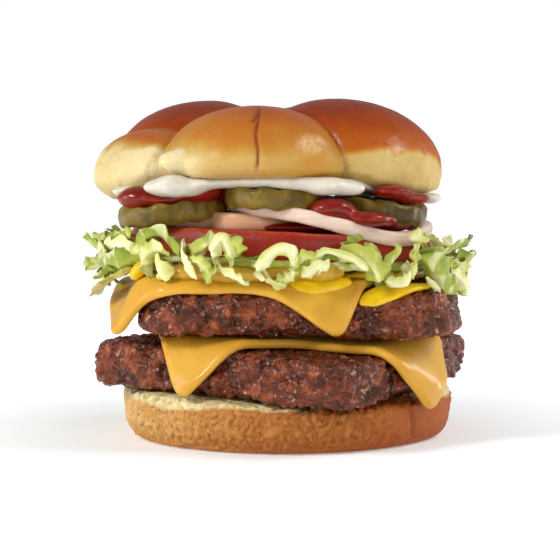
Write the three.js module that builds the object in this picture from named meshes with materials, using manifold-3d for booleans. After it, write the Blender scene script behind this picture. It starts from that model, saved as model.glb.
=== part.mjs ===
// A double cheeseburger, built as the stack of separate pieces that the real one is.
// Millimetres, +Z up, X to the diner's right, -Y to the front.
// The origin is on the surface that it stands on, under the middle of the whole stack.
import * as THREE from "three";
import { mergeVertices } from "three/addons/utils/BufferGeometryUtils.js";
import Module from "manifold-3d";

const wasm = await Module();
wasm.setup();

// ---------------------------------------------------------------- driving dimensions
const CLEARANCE = 0.45; // how far a neighbour is grown before a softer piece is cut by it
const BUN_BASE = { centre: [2, 0], radius: 54.2, height: 16.6, foot: 9 };
const PATTY = { half: 48.6, thickness: 14.4, squareness: 7, edge: 5 };
const CHEESE = { thickness: 2.9, bend: 7.5, bendInset: 4.6, hang: 84, stretch: 1.15 };
const SAG = { depth: 3.2, bearing: -64, width: 42, from: 26, to: 56 };
const PATTY_LOWER = { centre: [1.5, -1], bottom: 17.6, turn: -30, sag: 1 };
const PATTY_UPPER = { centre: [4.2, 0.5], bottom: 35.8, turn: 3, sag: 0.55 };
const CHEESE_LOWER = {
  corners: [[-33.2, -54.6], [55.8, -40.8], [42, 48.2], [-47, 34.4]], swell: 0, waist: 0, stiff: 0,
};
const CHEESE_UPPER = {
  corners: [[-57.5, -42.5], [19, -62], [50, 14], [-49, 36]], swell: 3.5, waist: 5.5, stiff: 74,
};
const MUSTARD = { centre: [3, -2], radius: 45, thickness: 2.2, lens: 4.2 };
const LETTUCE = { centre: [0.9, 0], radius: 60, bottom: 56.9, droop: 6, collar: 6 };
const TOMATO = { centre: [1.8, 0], radius: 50.6, thickness: 8.4, middle: 63.6, tilt: 2.2, nod: 1.5 };
const ONION_LEFT = { centre: [-15, -9.5], middle: 70.95, radius: 31, wall: 4.2, height: 4.8, lap: 0 };
const ONION_RIGHT = { centre: [13.5, -11], middle: 72.6, radius: 36.3, wall: 3.8, height: 4.6, lap: 4.2 };
const PICKLE = { thickness: 6.4, ridge: 0.4, pitch: 7.6 };
const KETCHUP = { centre: [-1, -1], radius: 35, top: 77 };
const MAYONNAISE = { centre: [-3, 0], radius: 45, thickness: 2.6 };
const BUN_TOP = { centre: [-4, 0], bottom: 78.6, arch: 4.2, heart: 9.5, rim: 6, tuck: 0.07 };

// ---------------------------------------------------------------- small helpers
const rad = THREE.MathUtils.degToRad;

// A wavy number between about -1 and 1 that closes on itself round the circle.
function ripple(angle, phase) {
  return (
    0.5 * Math.sin(3 * angle + phase) +
    0.3 * Math.sin(5 * angle + 2.1 * phase) +
    0.2 * Math.sin(9 * angle + 3.7 * phase)
  );
}

// A bump of height 1 at the given bearing in degrees, fading out over `width` degrees.
function lobe(angle, bearing, width) {
  const away = Math.atan2(Math.sin(angle - rad(bearing)), Math.cos(angle - rad(bearing)));
  return Math.exp(-((away / rad(width)) ** 2));
}

// The front right of the heel is squashed, so the layers on it sink there. Given in plan.
function sinking(x, y) {
  const out = THREE.MathUtils.smoothstep(Math.hypot(x, y), SAG.from, SAG.to);
  return SAG.depth * out * lobe(Math.atan2(y, x), SAG.bearing, SAG.width);
}

// Moves every vertex of a geometry to where `move(x, y, z)` says.
function reshape(geometry, move) {
  const at = geometry.getAttribute("position");
  for (let i = 0; i < at.count; i += 1) {
    at.setXYZ(i, ...move(at.getX(i), at.getY(i), at.getZ(i)));
  }
  return geometry;
}

// Turns a profile of [radius, height] points about Z, from the bottom centre to the top centre.
function turned(profile, segments) {
  const points = profile.map(([r, z]) => new THREE.Vector2(r, z));
  return new THREE.LatheGeometry(points, segments).rotateX(Math.PI / 2);
}

// A flat round layer whose rim is rounded over `edge`, centred on z = 0.
function puckProfile(radius, thickness, edge, steps = 6, fullness = 0.8) {
  const half = thickness / 2;
  const profile = [[0, -half]];
  for (const share of [0.35, 0.7]) profile.push([share * (radius - edge), -half]);
  for (let i = 0; i <= steps; i += 1) {
    const turn = Math.PI * (i / steps - 0.5);
    profile.push([radius - edge + edge * Math.cos(turn) ** fullness, half * Math.sin(turn)]);
  }
  for (const share of [0.7, 0.35]) profile.push([share * (radius - edge), half]);
  profile.push([0, half]);
  return profile;
}

// Scales a turned layer in plan so that its rim follows `outline(angle)`, in units of its radius.
function followOutline(geometry, outline) {
  return reshape(geometry, (x, y, z) => {
    const grow = outline(Math.atan2(y, x));
    return [x * grow, y * grow, z];
  });
}

// A closed solid in the whole object's frame, from a mesh, grown by `clearance` along its normals.
// A piece that was itself cut to fit is grown from its smooth uncut shape.
function solidOf(mesh, clearance = 0) {
  mesh.updateMatrixWorld();
  const uncut = clearance > 0 && mesh.userData.uncut ? mesh.userData.uncut : mesh.geometry;
  const source = uncut.clone().applyMatrix4(mesh.matrixWorld);
  source.deleteAttribute("normal");
  source.deleteAttribute("uv");
  const merged = mergeVertices(source, 1e-3);
  if (clearance > 0) {
    merged.computeVertexNormals();
    const at = merged.getAttribute("position");
    const normal = merged.getAttribute("normal");
    for (let i = 0; i < at.count; i += 1) {
      at.setXYZ(
        i,
        at.getX(i) + clearance * normal.getX(i),
        at.getY(i) + clearance * normal.getY(i),
        at.getZ(i) + clearance * normal.getZ(i),
      );
    }
  }
  return new wasm.Manifold(
    new wasm.Mesh({
      numProp: 3,
      vertProperties: new Float32Array(merged.getAttribute("position").array),
      triVerts: new Uint32Array(merged.index.array),
    }),
  );
}

// A mesh's geometry, in its own frame, from a solid in the whole object's frame.
function geometryFrom(solid, mesh) {
  const cut = solid.getMesh();
  const geometry = new THREE.BufferGeometry();
  geometry.setAttribute("position", new THREE.BufferAttribute(cut.vertProperties, 3));
  geometry.setIndex(new THREE.BufferAttribute(cut.triVerts, 1));
  geometry.applyMatrix4(mesh.matrixWorld.clone().invert());
  geometry.computeVertexNormals();
  return geometry;
}

// Cuts a soft piece back where its neighbours are, so that it fits round them in one piece.
function fitAround(mesh, neighbours) {
  let solid = solidOf(mesh);
  for (const neighbour of neighbours) solid = solid.subtract(solidOf(neighbour, CLEARANCE));
  const largestFirst = solid.decompose().sort((a, b) => b.volume() - a.volume());
  mesh.userData.uncut = mesh.geometry;
  mesh.geometry = geometryFrom(largestFirst[0], mesh);
  return mesh;
}

const finish = (color, roughness) =>
  new THREE.MeshStandardMaterial({ color, roughness, metalness: 0 });

const MATERIALS = {
  crust: finish(0xb5651f, 0.45),
  heel: finish(0xd49a4a, 0.75),
  meat: finish(0x4a241a, 0.5),
  cheese: finish(0xf0b030, 0.35),
  mustard: finish(0xe8c010, 0.25),
  lettuce: finish(0xa9c04a, 0.5),
  tomato: finish(0xa82418, 0.3),
  onion: finish(0xe8d8c8, 0.3),
  pickle: finish(0x75702a, 0.35),
  ketchup: finish(0x8c150c, 0.2),
  mayonnaise: finish(0xf0ece0, 0.3),
};

function piece(name, geometry, material, [x, y], z) {
  const mesh = new THREE.Mesh(geometry, material);
  mesh.name = name;
  mesh.position.set(x, y, z);
  return mesh;
}

// ---------------------------------------------------------------- the two halves of the bun
// The cut-off bottom: a rounded foot, nearly upright sides and a slightly domed cut face.
function bunBase() {
  const { radius, height, foot } = BUN_BASE;
  const profile = [[0, 0], [radius - foot, 0]];
  for (const turn of [30, 60, 90]) {
    const inwards = foot * 0.62 * (1 - Math.sin(rad(turn)));
    profile.push([radius - inwards - 0.4, foot * (1 - Math.cos(rad(turn)))]);
  }
  profile.push([radius, height - 2.2], [radius - 0.9, height - 0.3], [radius - 3.5, height + 0.1]);
  profile.push([0.6 * radius, height + 0.4], [0, height + 0.5]);
  const uneven = (angle) => 1 + 0.011 * ripple(angle, 1.3);
  return reshape(followOutline(turned(profile, 32), uneven), (x, y, z) => {
    const sunk = sinking(x + BUN_BASE.centre[0], y + BUN_BASE.centre[1]);
    return [x, y, z - sunk * (z / height) ** 2];
  });
}

// The domed top is a twisted roll of five lobes that swell out between deep seams.
// Each lobe is an ellipsoid: bearing in degrees, reach of its middle, half-axes and height.
const LOBES = [
  { bearing: -99, reach: 23.5, out: 32, along: 30.5, up: 21.4, lift: 6.6 },
  { bearing: -16, reach: 23.5, out: 34.4, along: 30, up: 23.7, lift: 7.6 },
  { bearing: 46, reach: 21, out: 36, along: 31, up: 23.4, lift: 7.6 },
  { bearing: 138, reach: 29, out: 30.5, along: 34, up: 25.2, lift: 8 },
  { bearing: 188, reach: 37, out: 20.5, along: 25, up: 15.4, lift: 6.5 },
];

// How far the surface of one lobe is from the heart of the bun in a direction, or 0 if it is missed.
function lobeDistance(direction, shape) {
  const turn = rad(shape.bearing);
  const along = (v) => [
    (v.x * Math.cos(turn) + v.y * Math.sin(turn)) / shape.out,
    (-v.x * Math.sin(turn) + v.y * Math.cos(turn)) / shape.along,
    v.z / shape.up,
  ];
  const d = along(direction);
  const middle = new THREE.Vector3(
    shape.reach * Math.cos(turn),
    shape.reach * Math.sin(turn),
    shape.lift - BUN_TOP.heart,
  );
  const m = along(middle);
  const dd = d[0] ** 2 + d[1] ** 2 + d[2] ** 2;
  const dm = d[0] * m[0] + d[1] * m[1] + d[2] * m[2];
  const mm = m[0] ** 2 + m[1] ** 2 + m[2] ** 2;
  const root = dm * dm - dd * (mm - 1);
  return root > 0 ? (dm + Math.sqrt(root)) / dd : 0;
}

// The cut face under the top: higher across the middle of the front, lower at both sides.
function topFloor(x) {
  return BUN_TOP.arch * (1 - THREE.MathUtils.smoothstep(Math.abs(x), 24, 46));
}

function bunTop() {
  // Directions from the heart, closer together round the rim, in degrees down from the top.
  const rings = [180, 148, 122, 109, 102, 98, 95, 91, 86, 80, 72, 63, 53, 42, 30, 15, 0];
  const ball = turned(rings.map((down) => [Math.sin(rad(down)), Math.cos(rad(down))]), 34);
  const direction = new THREE.Vector3();
  return reshape(ball, (x, y, z) => {
    direction.set(x, y, z).normalize();
    const far = Math.max(...LOBES.map((shape) => lobeDistance(direction, shape)));
    const px = direction.x * far;
    const py = direction.y * far;
    const pz = BUN_TOP.heart + direction.z * far;
    // Below the rim the side turns in and runs into the cut face.
    const floor = topFloor(px);
    const drop = THREE.MathUtils.clamp((floor + BUN_TOP.rim - pz) / BUN_TOP.rim, 0, 1);
    const reach = 1 - BUN_TOP.tuck * drop ** 2;
    if (pz > floor) return [px * reach, py * reach, pz];
    const shrink = (reach * (BUN_TOP.heart - floor)) / (BUN_TOP.heart - pz);
    return [px * shrink, py * shrink, topFloor(px * shrink)];
  });
}

// ---------------------------------------------------------------- meat and cheese
// A square patty with rounded corners and sides, a little uneven, sinking with the heel.
function patty(place, phase) {
  const { half, thickness, squareness, edge } = PATTY;
  const rounded = (angle) => {
    const c = Math.abs(Math.cos(angle)) ** squareness;
    const s = Math.abs(Math.sin(angle)) ** squareness;
    return (c + s) ** (-1 / squareness) * (1 + 0.012 * ripple(angle, phase));
  };
  const level = followOutline(turned(puckProfile(half, thickness, edge, 5, 0.6), 32), rounded);
  const c = Math.cos(rad(place.turn));
  const s = Math.sin(rad(place.turn));
  return reshape(level, (x, y, z) => {
    const sunk = sinking(place.centre[0] + c * x - s * y, place.centre[1] + s * x + c * y);
    return [x, y, z - place.sag * sunk];
  });
}

// Distance from a point to the edge of a patty seen from above, and the direction away from it.
function awayFromPatty(x, y, { centre, turn }) {
  const c = Math.cos(rad(turn));
  const s = Math.sin(rad(turn));
  const px = c * (x - centre[0]) + s * (y - centre[1]);
  const py = -s * (x - centre[0]) + c * (y - centre[1]);
  const corner = 14.5;
  const qx = Math.abs(px) - (PATTY.half - corner);
  const qy = Math.abs(py) - (PATTY.half - corner);
  const outside = Math.hypot(Math.max(qx, 0), Math.max(qy, 0));
  const distance = outside + Math.min(Math.max(qx, qy), 0) - corner;
  let nx = qx > qy ? 1 : 0;
  let ny = 1 - nx;
  if (qx > 0 && qy > 0) [nx, ny] = [qx / outside, qy / outside];
  nx *= Math.sign(px);
  ny *= Math.sign(py);
  return { distance, nx: c * nx - s * ny, ny: s * nx + c * ny };
}

// How far what hangs beside the heel is pushed out, so that it lies against the heel's outside.
function pushedByHeel([x, y, z], thickness) {
  const [hx, hy] = [x - BUN_BASE.centre[0], y - BUN_BASE.centre[1]];
  const away = Math.hypot(hx, hy);
  const low = 1 - THREE.MathUtils.smoothstep(z, BUN_BASE.height + 1, BUN_BASE.height + 7);
  const push = low * Math.max(BUN_BASE.radius + thickness / 2 + 1.4 - away, 0);
  return [(push * hx) / away, (push * hy) / away];
}

// Where a point of a slice lies in plan, for shares of 0 to 1 along its sides. Its front edge is
// drawn in by `waist` near the right corner and swells out near the left one.
function sliceInPlan({ corners, swell, waist }, s, t) {
  const [a, b, c, d] = corners;
  const between = (k) => (1 - t) * ((1 - s) * a[k] + s * b[k]) + t * ((1 - s) * d[k] + s * c[k]);
  const dip = waist * Math.exp(-(((s - 0.72) / 0.2) ** 2)) - swell * Math.exp(-(((s - 0.26) / 0.2) ** 2));
  return [between(0), between(1) + dip * (1 - t) ** 3];
}

// A square slice lies on its patty, bends over the rounded edge and hangs down beyond it.
// A stiff one hangs less, by that many degrees, on its left side.
function drapedCheese(slice, under) {
  const { thickness, bend, bendInset, hang, stretch } = CHEESE;
  const cells = 10;
  const lying = under.bottom + PATTY.thickness + CLEARANCE + 0.1 + thickness / 2;
  const drape = (x, y, w) => {
    const { distance, nx, ny } = awayFromPatty(x, y, under);
    const over = Math.max(distance + bendInset, 0) * stretch;
    const bearing = Math.atan2(y - under.centre[1], x - under.centre[0]);
    const steepest = rad(hang - slice.stiff * lobe(bearing, 174, 36));
    const lean = Math.min(over / bend, steepest);
    const straight = Math.max(over - bend * steepest, 0);
    const out = bend * Math.sin(lean) + straight * Math.cos(lean) + w * Math.sin(lean);
    const down = bend * (1 - Math.cos(lean)) + straight * Math.sin(lean) - w * Math.cos(lean);
    const back = out - over / stretch;
    const [fx, fy] = [x + nx * back, y + ny * back];
    return [fx, fy, lying - down - under.sag * sinking(fx, fy)];
  };
  const flat = new THREE.BoxGeometry(1, 1, thickness, cells, cells, 1);
  return reshape(flat, (u, v, w) => {
    const [x, y] = sliceInPlan(slice, u + 0.5, v + 0.5);
    const [px, py] = pushedByHeel(drape(x, y, 0), thickness);
    const [fx, fy, fz] = drape(x, y, w);
    return [fx + px, fy + py, fz];
  });
}

// ---------------------------------------------------------------- salad and sauces
// Heights of the tilted tomato's two faces above the origin, and of the cut face of the top.
const slope = Math.tan(rad(TOMATO.tilt));
const rise = Math.tan(rad(TOMATO.nod));
const tomatoTop = (x, y) =>
  TOMATO.middle + TOMATO.thickness / 2 + rise * y - slope * (x - TOMATO.centre[0]);
const tomatoUnder = (x, y) => tomatoTop(x, y) - TOMATO.thickness;
const cutFace = (x) => BUN_TOP.bottom + topFloor(x - BUN_TOP.centre[0]);

// Mustard is pressed flat on the cheese, and laps over the patty's shoulder at the front right.
function mustard() {
  const { radius, thickness, lens, centre } = MUSTARD;
  const outline = (angle) =>
    1 + 0.04 * ripple(angle, 2.2) + 0.25 * lobe(angle, -42, 20) + 0.1 * lobe(angle, -135, 16);
  const flat = followOutline(turned(puckProfile(radius, thickness, 2.2, 3), 24), outline);
  return reshape(flat, (x, y, z) => {
    const out = THREE.MathUtils.smoothstep(Math.hypot(x, y), 0.92 * radius, 1.16 * radius);
    const lap = lens * out * lobe(Math.atan2(y, x), -42, 24);
    return [x, y, z - lap - PATTY_UPPER.sag * sinking(x + centre[0], y + centre[1])];
  });
}

// The shredded heap: a bed up to the tomato and a ragged collar that rises and hangs round it.
// In the profile, 0 is the bed's underside, 1 its top, and the rest hangs or rises past them.
function lettuce() {
  const { radius, bottom, droop, collar, centre } = LETTUCE;
  const profile = [
    [0, 0], [0.5, 0], [0.76, 0], [0.88, -0.4], [0.965, -1], [1, -0.3], [0.995, 1],
    [0.975, 1.8], [0.94, 2], [0.918, 1.5], [0.9, 1], [0.5, 1], [0, 1],
  ];
  const heap = turned(profile.map(([r, z]) => [r * radius, z]), 40);
  return reshape(heap, (x, y, z) => {
    const angle = Math.atan2(y, x);
    const rim = THREE.MathUtils.smoothstep(Math.hypot(x, y), 0.91 * radius, radius);
    const grow = 1 + rim * (0.025 * ripple(angle, 0.4) + 0.015 * Math.sin(17 * angle));
    const tufts = 1 + 0.25 * Math.sin(11 * angle + 0.6) + 0.2 * Math.sin(19 * angle);
    const hanging = 1 + 0.5 * lobe(angle, 190, 26) + 0.3 * lobe(angle, -10, 24);
    const bedTop = tomatoUnder(x + centre[0], y) - CLEARANCE;
    const height = bottom + THREE.MathUtils.clamp(z, 0, 1) * (bedTop - bottom);
    const past = Math.max(z - 1, 0) * collar * tufts + Math.min(z, 0) * droop * hanging;
    return [x * grow, y * grow, height + past];
  });
}

function tomato() {
  const { radius, thickness } = TOMATO;
  const outline = (angle) => 1 + 0.012 * ripple(angle, 4.1);
  return followOutline(turned(puckProfile(radius, thickness, 2.2, 3), 30), outline);
}

// One ring of an onion slice: a band with rounded corners, a little oval and a little wavy.
// Its front right may lap down over the tomato's edge.
function onionRing({ radius, wall, height, lap }, phase) {
  const corner = 0.9;
  const inner = radius - wall;
  const half = height / 2;
  const profile = [
    [inner, -half], [radius - corner, -half], [radius, -half + corner], [radius, half - corner],
    [radius - corner, half], [inner + corner, half], [inner, half - corner], [inner, -half],
  ];
  const oval = (angle) => 1 + 0.02 * Math.cos(2 * angle + phase) + 0.012 * ripple(angle, phase);
  return reshape(followOutline(turned(profile, 24), oval), (x, y, z) => [
    x, y, z - lap * lobe(Math.atan2(y, x), -52, 34),
  ]);
}

// A crinkle-cut slice is a ridged slab cut out of a round pickle, so both are made and crossed.
function pickleSlice(radius, phase) {
  const { thickness, ridge, pitch } = PICKLE;
  const stepsPerRidge = 3;
  const steps = Math.round((stepsPerRidge * 2 * radius) / pitch);
  const face = (side) =>
    Array.from({ length: steps + 1 }, (_, i) => {
      const x = radius * 1.05 * ((2 * i) / steps - 1);
      const wave = ridge * Math.sin((2 * Math.PI * x) / pitch + phase);
      return new THREE.Vector2(x, (side * thickness) / 2 + wave);
    });
  const section = new THREE.Shape([...face(-1), ...face(1).reverse()]);
  const slab = new THREE.ExtrudeGeometry(section, { depth: 2.2 * radius, bevelEnabled: false })
    .translate(0, 0, -1.1 * radius)
    .rotateX(Math.PI / 2);
  const stick = followOutline(
    new THREE.CylinderGeometry(radius, radius, 3 * thickness, 18).rotateX(Math.PI / 2),
    (angle) => 1 + 0.02 * ripple(angle, phase),
  );
  const slabMesh = new THREE.Mesh(slab);
  return geometryFrom(solidOf(slabMesh).intersect(solidOf(new THREE.Mesh(stick))), slabMesh);
}

// Where the pickles lie: under the lobes of the top, each leaning its own way.
const PICKLES = [
  { name: "pickle_left", at: [-33.6, -23, 73.2], radius: 17.8, lean: [4, -7], turn: 12, phase: 0.4 },
  { name: "pickle_centre", at: [-2.2, -33, 76.2], radius: 15.2, lean: [8, 2], turn: -8, phase: 1.9 },
  { name: "pickle_right", at: [31, -23.5, 73.6], radius: 15.2, lean: [4, 7], turn: 20, phase: 3.1 },
  { name: "pickle_back", at: [3, 31, 75], radius: 16.5, lean: [-5, 1], turn: 4, phase: 5.2 },
];

// The plain disc that a pickle slice, ridges and all, sits inside.
function picklePocket({ radius }, pickle) {
  const height = PICKLE.thickness + 2 * PICKLE.ridge;
  const disc = new THREE.CylinderGeometry(radius * 1.03, radius * 1.03, height, 14);
  const pocket = new THREE.Mesh(disc.rotateX(Math.PI / 2));
  pocket.position.copy(pickle.position);
  pocket.rotation.copy(pickle.rotation);
  return pocket;
}

// The outline of a soft layer that is squeezed out in bulges: [bearing, width, how far] of each.
const squeezedOut = (radius, bulges) => (angle) =>
  1 + bulges.reduce((sum, [at, width, far]) => sum + (far / radius) * lobe(angle, at, width), 0);

const KETCHUP_BULGES = [
  [-146, 13, 13], [-122, 11, 11], [-67, 15, 13], [-40, 14, 12], [4, 14, 8], [47, 16, 9],
  [95, 18, 11], [138, 15, 10],
];
const MAYONNAISE_BULGES = [
  [-124, 11, 6], [-150, 16, 5], [-92, 12, 5.5], [-68, 12, 6], [-14, 9, 5], [32, 15, 5.5],
  [84, 17, 6], [128, 12, 5.5], [164, 10, 4.5],
];

// Ketchup fills the hollow over the tomato, between the onion rings and the pickles.
function ketchup() {
  const { centre, radius, top } = KETCHUP;
  const disc = turned(puckProfile(radius, 2, 3.2, 3), 30);
  return reshape(followOutline(disc, squeezedOut(radius, KETCHUP_BULGES)), (x, y, z) => {
    const floor = tomatoTop(x + centre[0], y + centre[1]) + CLEARANCE;
    return [x, y, floor + ((z + 1) / 2) * (top - floor)];
  });
}

// Mayonnaise is a soft layer under the bun that follows its cut face.
function mayonnaise() {
  const { centre, radius, thickness } = MAYONNAISE;
  const disc = turned(puckProfile(radius, 2, 4, 3), 30);
  return reshape(followOutline(disc, squeezedOut(radius, MAYONNAISE_BULGES)), (x, y, z) => {
    const roof = cutFace(x + centre[0]) - CLEARANCE;
    return [x, y, roof - ((1 - z) / 2) * thickness];
  });
}

// ---------------------------------------------------------------- the stack
const bunBaseMesh = piece("bun_base", bunBase(), MATERIALS.heel, BUN_BASE.centre, 0);

function placedPatty(name, place, phase) {
  const middle = place.bottom + PATTY.thickness / 2;
  const mesh = piece(name, patty(place, phase), MATERIALS.meat, place.centre, middle);
  mesh.rotation.z = rad(place.turn);
  return mesh;
}
const pattyLower = placedPatty("patty_lower", PATTY_LOWER, 0.7);
const pattyUpper = placedPatty("patty_upper", PATTY_UPPER, 2.9);

const cheeseLower = fitAround(
  piece("cheese_lower", drapedCheese(CHEESE_LOWER, PATTY_LOWER), MATERIALS.cheese, [0, 0], 0),
  [pattyLower],
);
const cheeseUpper = fitAround(
  piece("cheese_upper", drapedCheese(CHEESE_UPPER, PATTY_UPPER), MATERIALS.cheese, [0, 0], 0),
  [pattyUpper, pattyLower],
);

const cheeseTop = PATTY_UPPER.bottom + PATTY.thickness + CLEARANCE + 0.1 + CHEESE.thickness;
const mustardMiddle = cheeseTop + CLEARANCE + 0.1 + MUSTARD.thickness / 2;
const mustardMesh = fitAround(
  piece("mustard", mustard(), MATERIALS.mustard, MUSTARD.centre, mustardMiddle),
  [cheeseUpper, pattyUpper],
);

const tomatoMesh = piece("tomato", tomato(), MATERIALS.tomato, TOMATO.centre, TOMATO.middle);
tomatoMesh.rotation.set(rad(TOMATO.nod), rad(TOMATO.tilt), 0);

const lettuceMesh = fitAround(
  piece("lettuce", lettuce(), MATERIALS.lettuce, LETTUCE.centre, 0),
  [mustardMesh, cheeseUpper, pattyUpper],
);

const onionLeft = piece(
  "onion_left", onionRing(ONION_LEFT, 0.5), MATERIALS.onion, ONION_LEFT.centre, ONION_LEFT.middle);
onionLeft.rotation.set(rad(TOMATO.nod), rad(TOMATO.tilt), 0);
const onionRight = piece(
  "onion_right", onionRing(ONION_RIGHT, 2.4), MATERIALS.onion, ONION_RIGHT.centre,
  ONION_RIGHT.middle);
onionRight.rotation.set(rad(2.5), rad(7), 0);
fitAround(onionRight, [onionLeft, tomatoMesh]);
const rings = [onionLeft, onionRight];

const pickles = PICKLES.map(({ name, at, radius, lean, turn, phase }) => {
  const mesh = piece(name, pickleSlice(radius, phase), MATERIALS.pickle, at, at[2]);
  mesh.rotation.set(rad(lean[0]), rad(lean[1]), rad(turn));
  return fitAround(mesh, [...rings, tomatoMesh]);
});
const pockets = PICKLES.map((place, i) => picklePocket(place, pickles[i]));

const ketchupMesh = fitAround(
  piece("ketchup", ketchup(), MATERIALS.ketchup, KETCHUP.centre, 0),
  [...rings, ...pockets],
);
const bunTopMesh = piece("bun_top", bunTop(), MATERIALS.crust, BUN_TOP.centre, BUN_TOP.bottom);
const mayonnaiseMesh = fitAround(
  piece("mayonnaise", mayonnaise(), MATERIALS.mayonnaise, MAYONNAISE.centre, 0),
  [ketchupMesh, ...pockets, ...rings, bunTopMesh],
);

const burger = new THREE.Group();
burger.add(bunBaseMesh, pattyLower, cheeseLower, pattyUpper, cheeseUpper, mustardMesh);
burger.add(lettuceMesh, tomatoMesh, ...rings, ...pickles, ketchupMesh, mayonnaiseMesh, bunTopMesh);

// The whole stack moves sideways so that the origin is under the middle of its box.
const middle = new THREE.Box3().setFromObject(burger, true).getCenter(new THREE.Vector3());
burger.position.set(-middle.x, -middle.y, 0);

export default burger;
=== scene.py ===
"""The looks of a double cheeseburger, modelled in millimetres round its CAD frame.

Every piece is worked out in the stack's own plan: x to the diner's right, y to the back, z up,
with the origin on the standing surface where the layers were centred.
"""
import math

import bpy
import numpy as np
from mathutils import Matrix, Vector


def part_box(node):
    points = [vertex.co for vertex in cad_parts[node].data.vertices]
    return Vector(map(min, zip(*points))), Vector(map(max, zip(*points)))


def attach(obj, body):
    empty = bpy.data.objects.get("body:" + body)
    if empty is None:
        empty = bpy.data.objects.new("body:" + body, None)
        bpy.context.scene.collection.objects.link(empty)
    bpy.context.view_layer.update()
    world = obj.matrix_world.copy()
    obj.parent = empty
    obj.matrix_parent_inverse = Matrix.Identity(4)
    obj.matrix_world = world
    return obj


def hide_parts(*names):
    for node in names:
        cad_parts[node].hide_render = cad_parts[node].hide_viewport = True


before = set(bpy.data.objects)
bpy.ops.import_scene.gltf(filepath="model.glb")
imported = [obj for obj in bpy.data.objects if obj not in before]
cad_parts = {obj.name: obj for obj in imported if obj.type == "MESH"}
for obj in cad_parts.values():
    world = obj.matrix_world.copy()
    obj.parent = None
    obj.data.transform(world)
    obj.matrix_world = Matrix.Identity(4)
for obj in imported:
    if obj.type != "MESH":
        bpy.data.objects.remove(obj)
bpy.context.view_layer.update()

MM = 0.001


# ---------------------------------------------------------------- places from the frame
# Where the origin of the stack's own plan lies in the frame, worked out from the heel's box.
HEEL_BOX_CENTRE = np.array([2.24, -0.23])  # the middle of that box in the stack's own plan
heel_low, heel_high = (np.array(corner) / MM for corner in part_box("bun_base"))
AXIS = (heel_low + heel_high)[:2] / 2 - HEEL_BOX_CENTRE


# ---------------------------------------------------------------- driving dimensions
# Lengths in millimetres and angles in degrees. A bearing runs anticlockwise from the diner's right.
HEEL = {"centre": (2, 0), "radius": 54.2, "height": 16.6, "foot": 9}
PATTY = {"half": 48.6, "thickness": 14.4, "squareness": 7, "edge": 5, "corner": 14.5}
SAG = {"depth": 3.2, "bearing": -64, "width": 42, "from": 26, "to": 56}
LOWER = {"centre": (1.5, -1), "bottom": 17.6, "turn": -30, "sag": 1.0}
UPPER = {"centre": (4.2, 0.5), "bottom": 35.8, "turn": 3, "sag": 0.55}
# A slice starts to bend `inset` inside the patty's edge, over a radius `bend`, and then hangs.
SLICE = {"thickness": 2.9, "bend": 7.5, "inset": 4.6, "hang": 84, "stretch": 1.15}
SLICE_LOWER = {
    "corners": [(-33.2, -54.6), (55.8, -40.8), (42, 48.2), (-47, 34.4)],
    "swell": (-3.0, 0.72), "waist": (6.5, 0.40), "stiff": 0, "size": 90,
}
SLICE_UPPER = {
    "corners": [(-57.5, -42.5), (19, -62), (50, 14), (-49, 36)],
    "swell": (-3.5, 0.26), "waist": (5.5, 0.72), "stiff": 74, "size": 84,
}
TOMATO = {"centre": (1.8, 0), "radius": 50.6, "thickness": 8.4, "middle": 63.6, "tilt": 2.2, "nod": 1.5}
TOP = {"centre": (-4, 0), "bottom": 78.6, "arch": 4.2, "heart": 9.5, "rim": 6, "tuck": 0.07}
CLEARANCE = 0.55  # between a patty and the slice on it


# ---------------------------------------------------------------- numbers and noise
def rad(degrees):
    return degrees * math.pi / 180


def smoothstep(low, high, x):
    t = np.clip((x - low) / (high - low), 0, 1)
    return t * t * (3 - 2 * t)


def ripple(angle, phase):
    """A wavy number between about -1 and 1 that closes on itself round the circle."""
    return (
        0.5 * np.sin(3 * angle + phase)
        + 0.3 * np.sin(5 * angle + 2.1 * phase)
        + 0.2 * np.sin(9 * angle + 3.7 * phase)
    )


def peak(x, at, width):
    """1 where x is at a place, fading out over `width` on both sides of it."""
    return np.exp(-(((x - at) / width) ** 2))


def bump_at(angle, bearing, width):
    """A bump of height 1 at a bearing in degrees, fading out over `width` degrees."""
    away = angle - rad(bearing)
    return peak(np.arctan2(np.sin(away), np.cos(away)), 0, rad(width))


def turned(x, y, degrees):
    """Two coordinates, turned round the origin from the first axis towards the second."""
    c, s = math.cos(rad(degrees)), math.sin(rad(degrees))
    return c * x - s * y, s * x + c * y


def turned_like_cad(points, lean, turn):
    """Points turned as three.js does for an XYZ rotation: about z, then y, then x."""
    x, y = turned(points[..., 0], points[..., 1], turn)
    z, x = turned(points[..., 2], x, lean[1])
    y, z = turned(y, z, lean[0])
    return np.stack([x, y, z], -1)


def lattice(cell, seed):
    """A repeatable number in [0, 1) for each whole-number cell."""
    h = cell[..., 0] * 73856093 ^ cell[..., 1] * 19349663 ^ cell[..., 2] * 83492791
    h = (h ^ seed * 26544357) & 0xFFFFFFFF
    h = ((h ^ (h >> 15)) * 2246822519) & 0xFFFFFFFF
    h = ((h ^ (h >> 13)) * 3266489917) & 0xFFFFFFFF
    return (h ^ (h >> 16)) / 4294967296.0


def noise(points, size, seed):
    """Smooth noise between -1 and 1 whose bumps are about `size` across."""
    q = points / size
    base = np.floor(q).astype(np.int64)
    f = q - base
    f = f * f * (3 - 2 * f)
    total = 0
    for corner in np.ndindex(2, 2, 2):
        weight = np.prod(np.where(corner, f, 1 - f), axis=-1)
        total = total + weight * lattice(base + np.array(corner), seed)
    return 2 * total - 1


def rough(points, size, seed, octaves=3):
    """Noise with finer noise on it, between about -1 and 1."""
    total = sum(noise(points * 2**k, size, seed + k) / 2**k for k in range(octaves))
    return total / (2 - 2.0 ** (1 - octaves))


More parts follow.
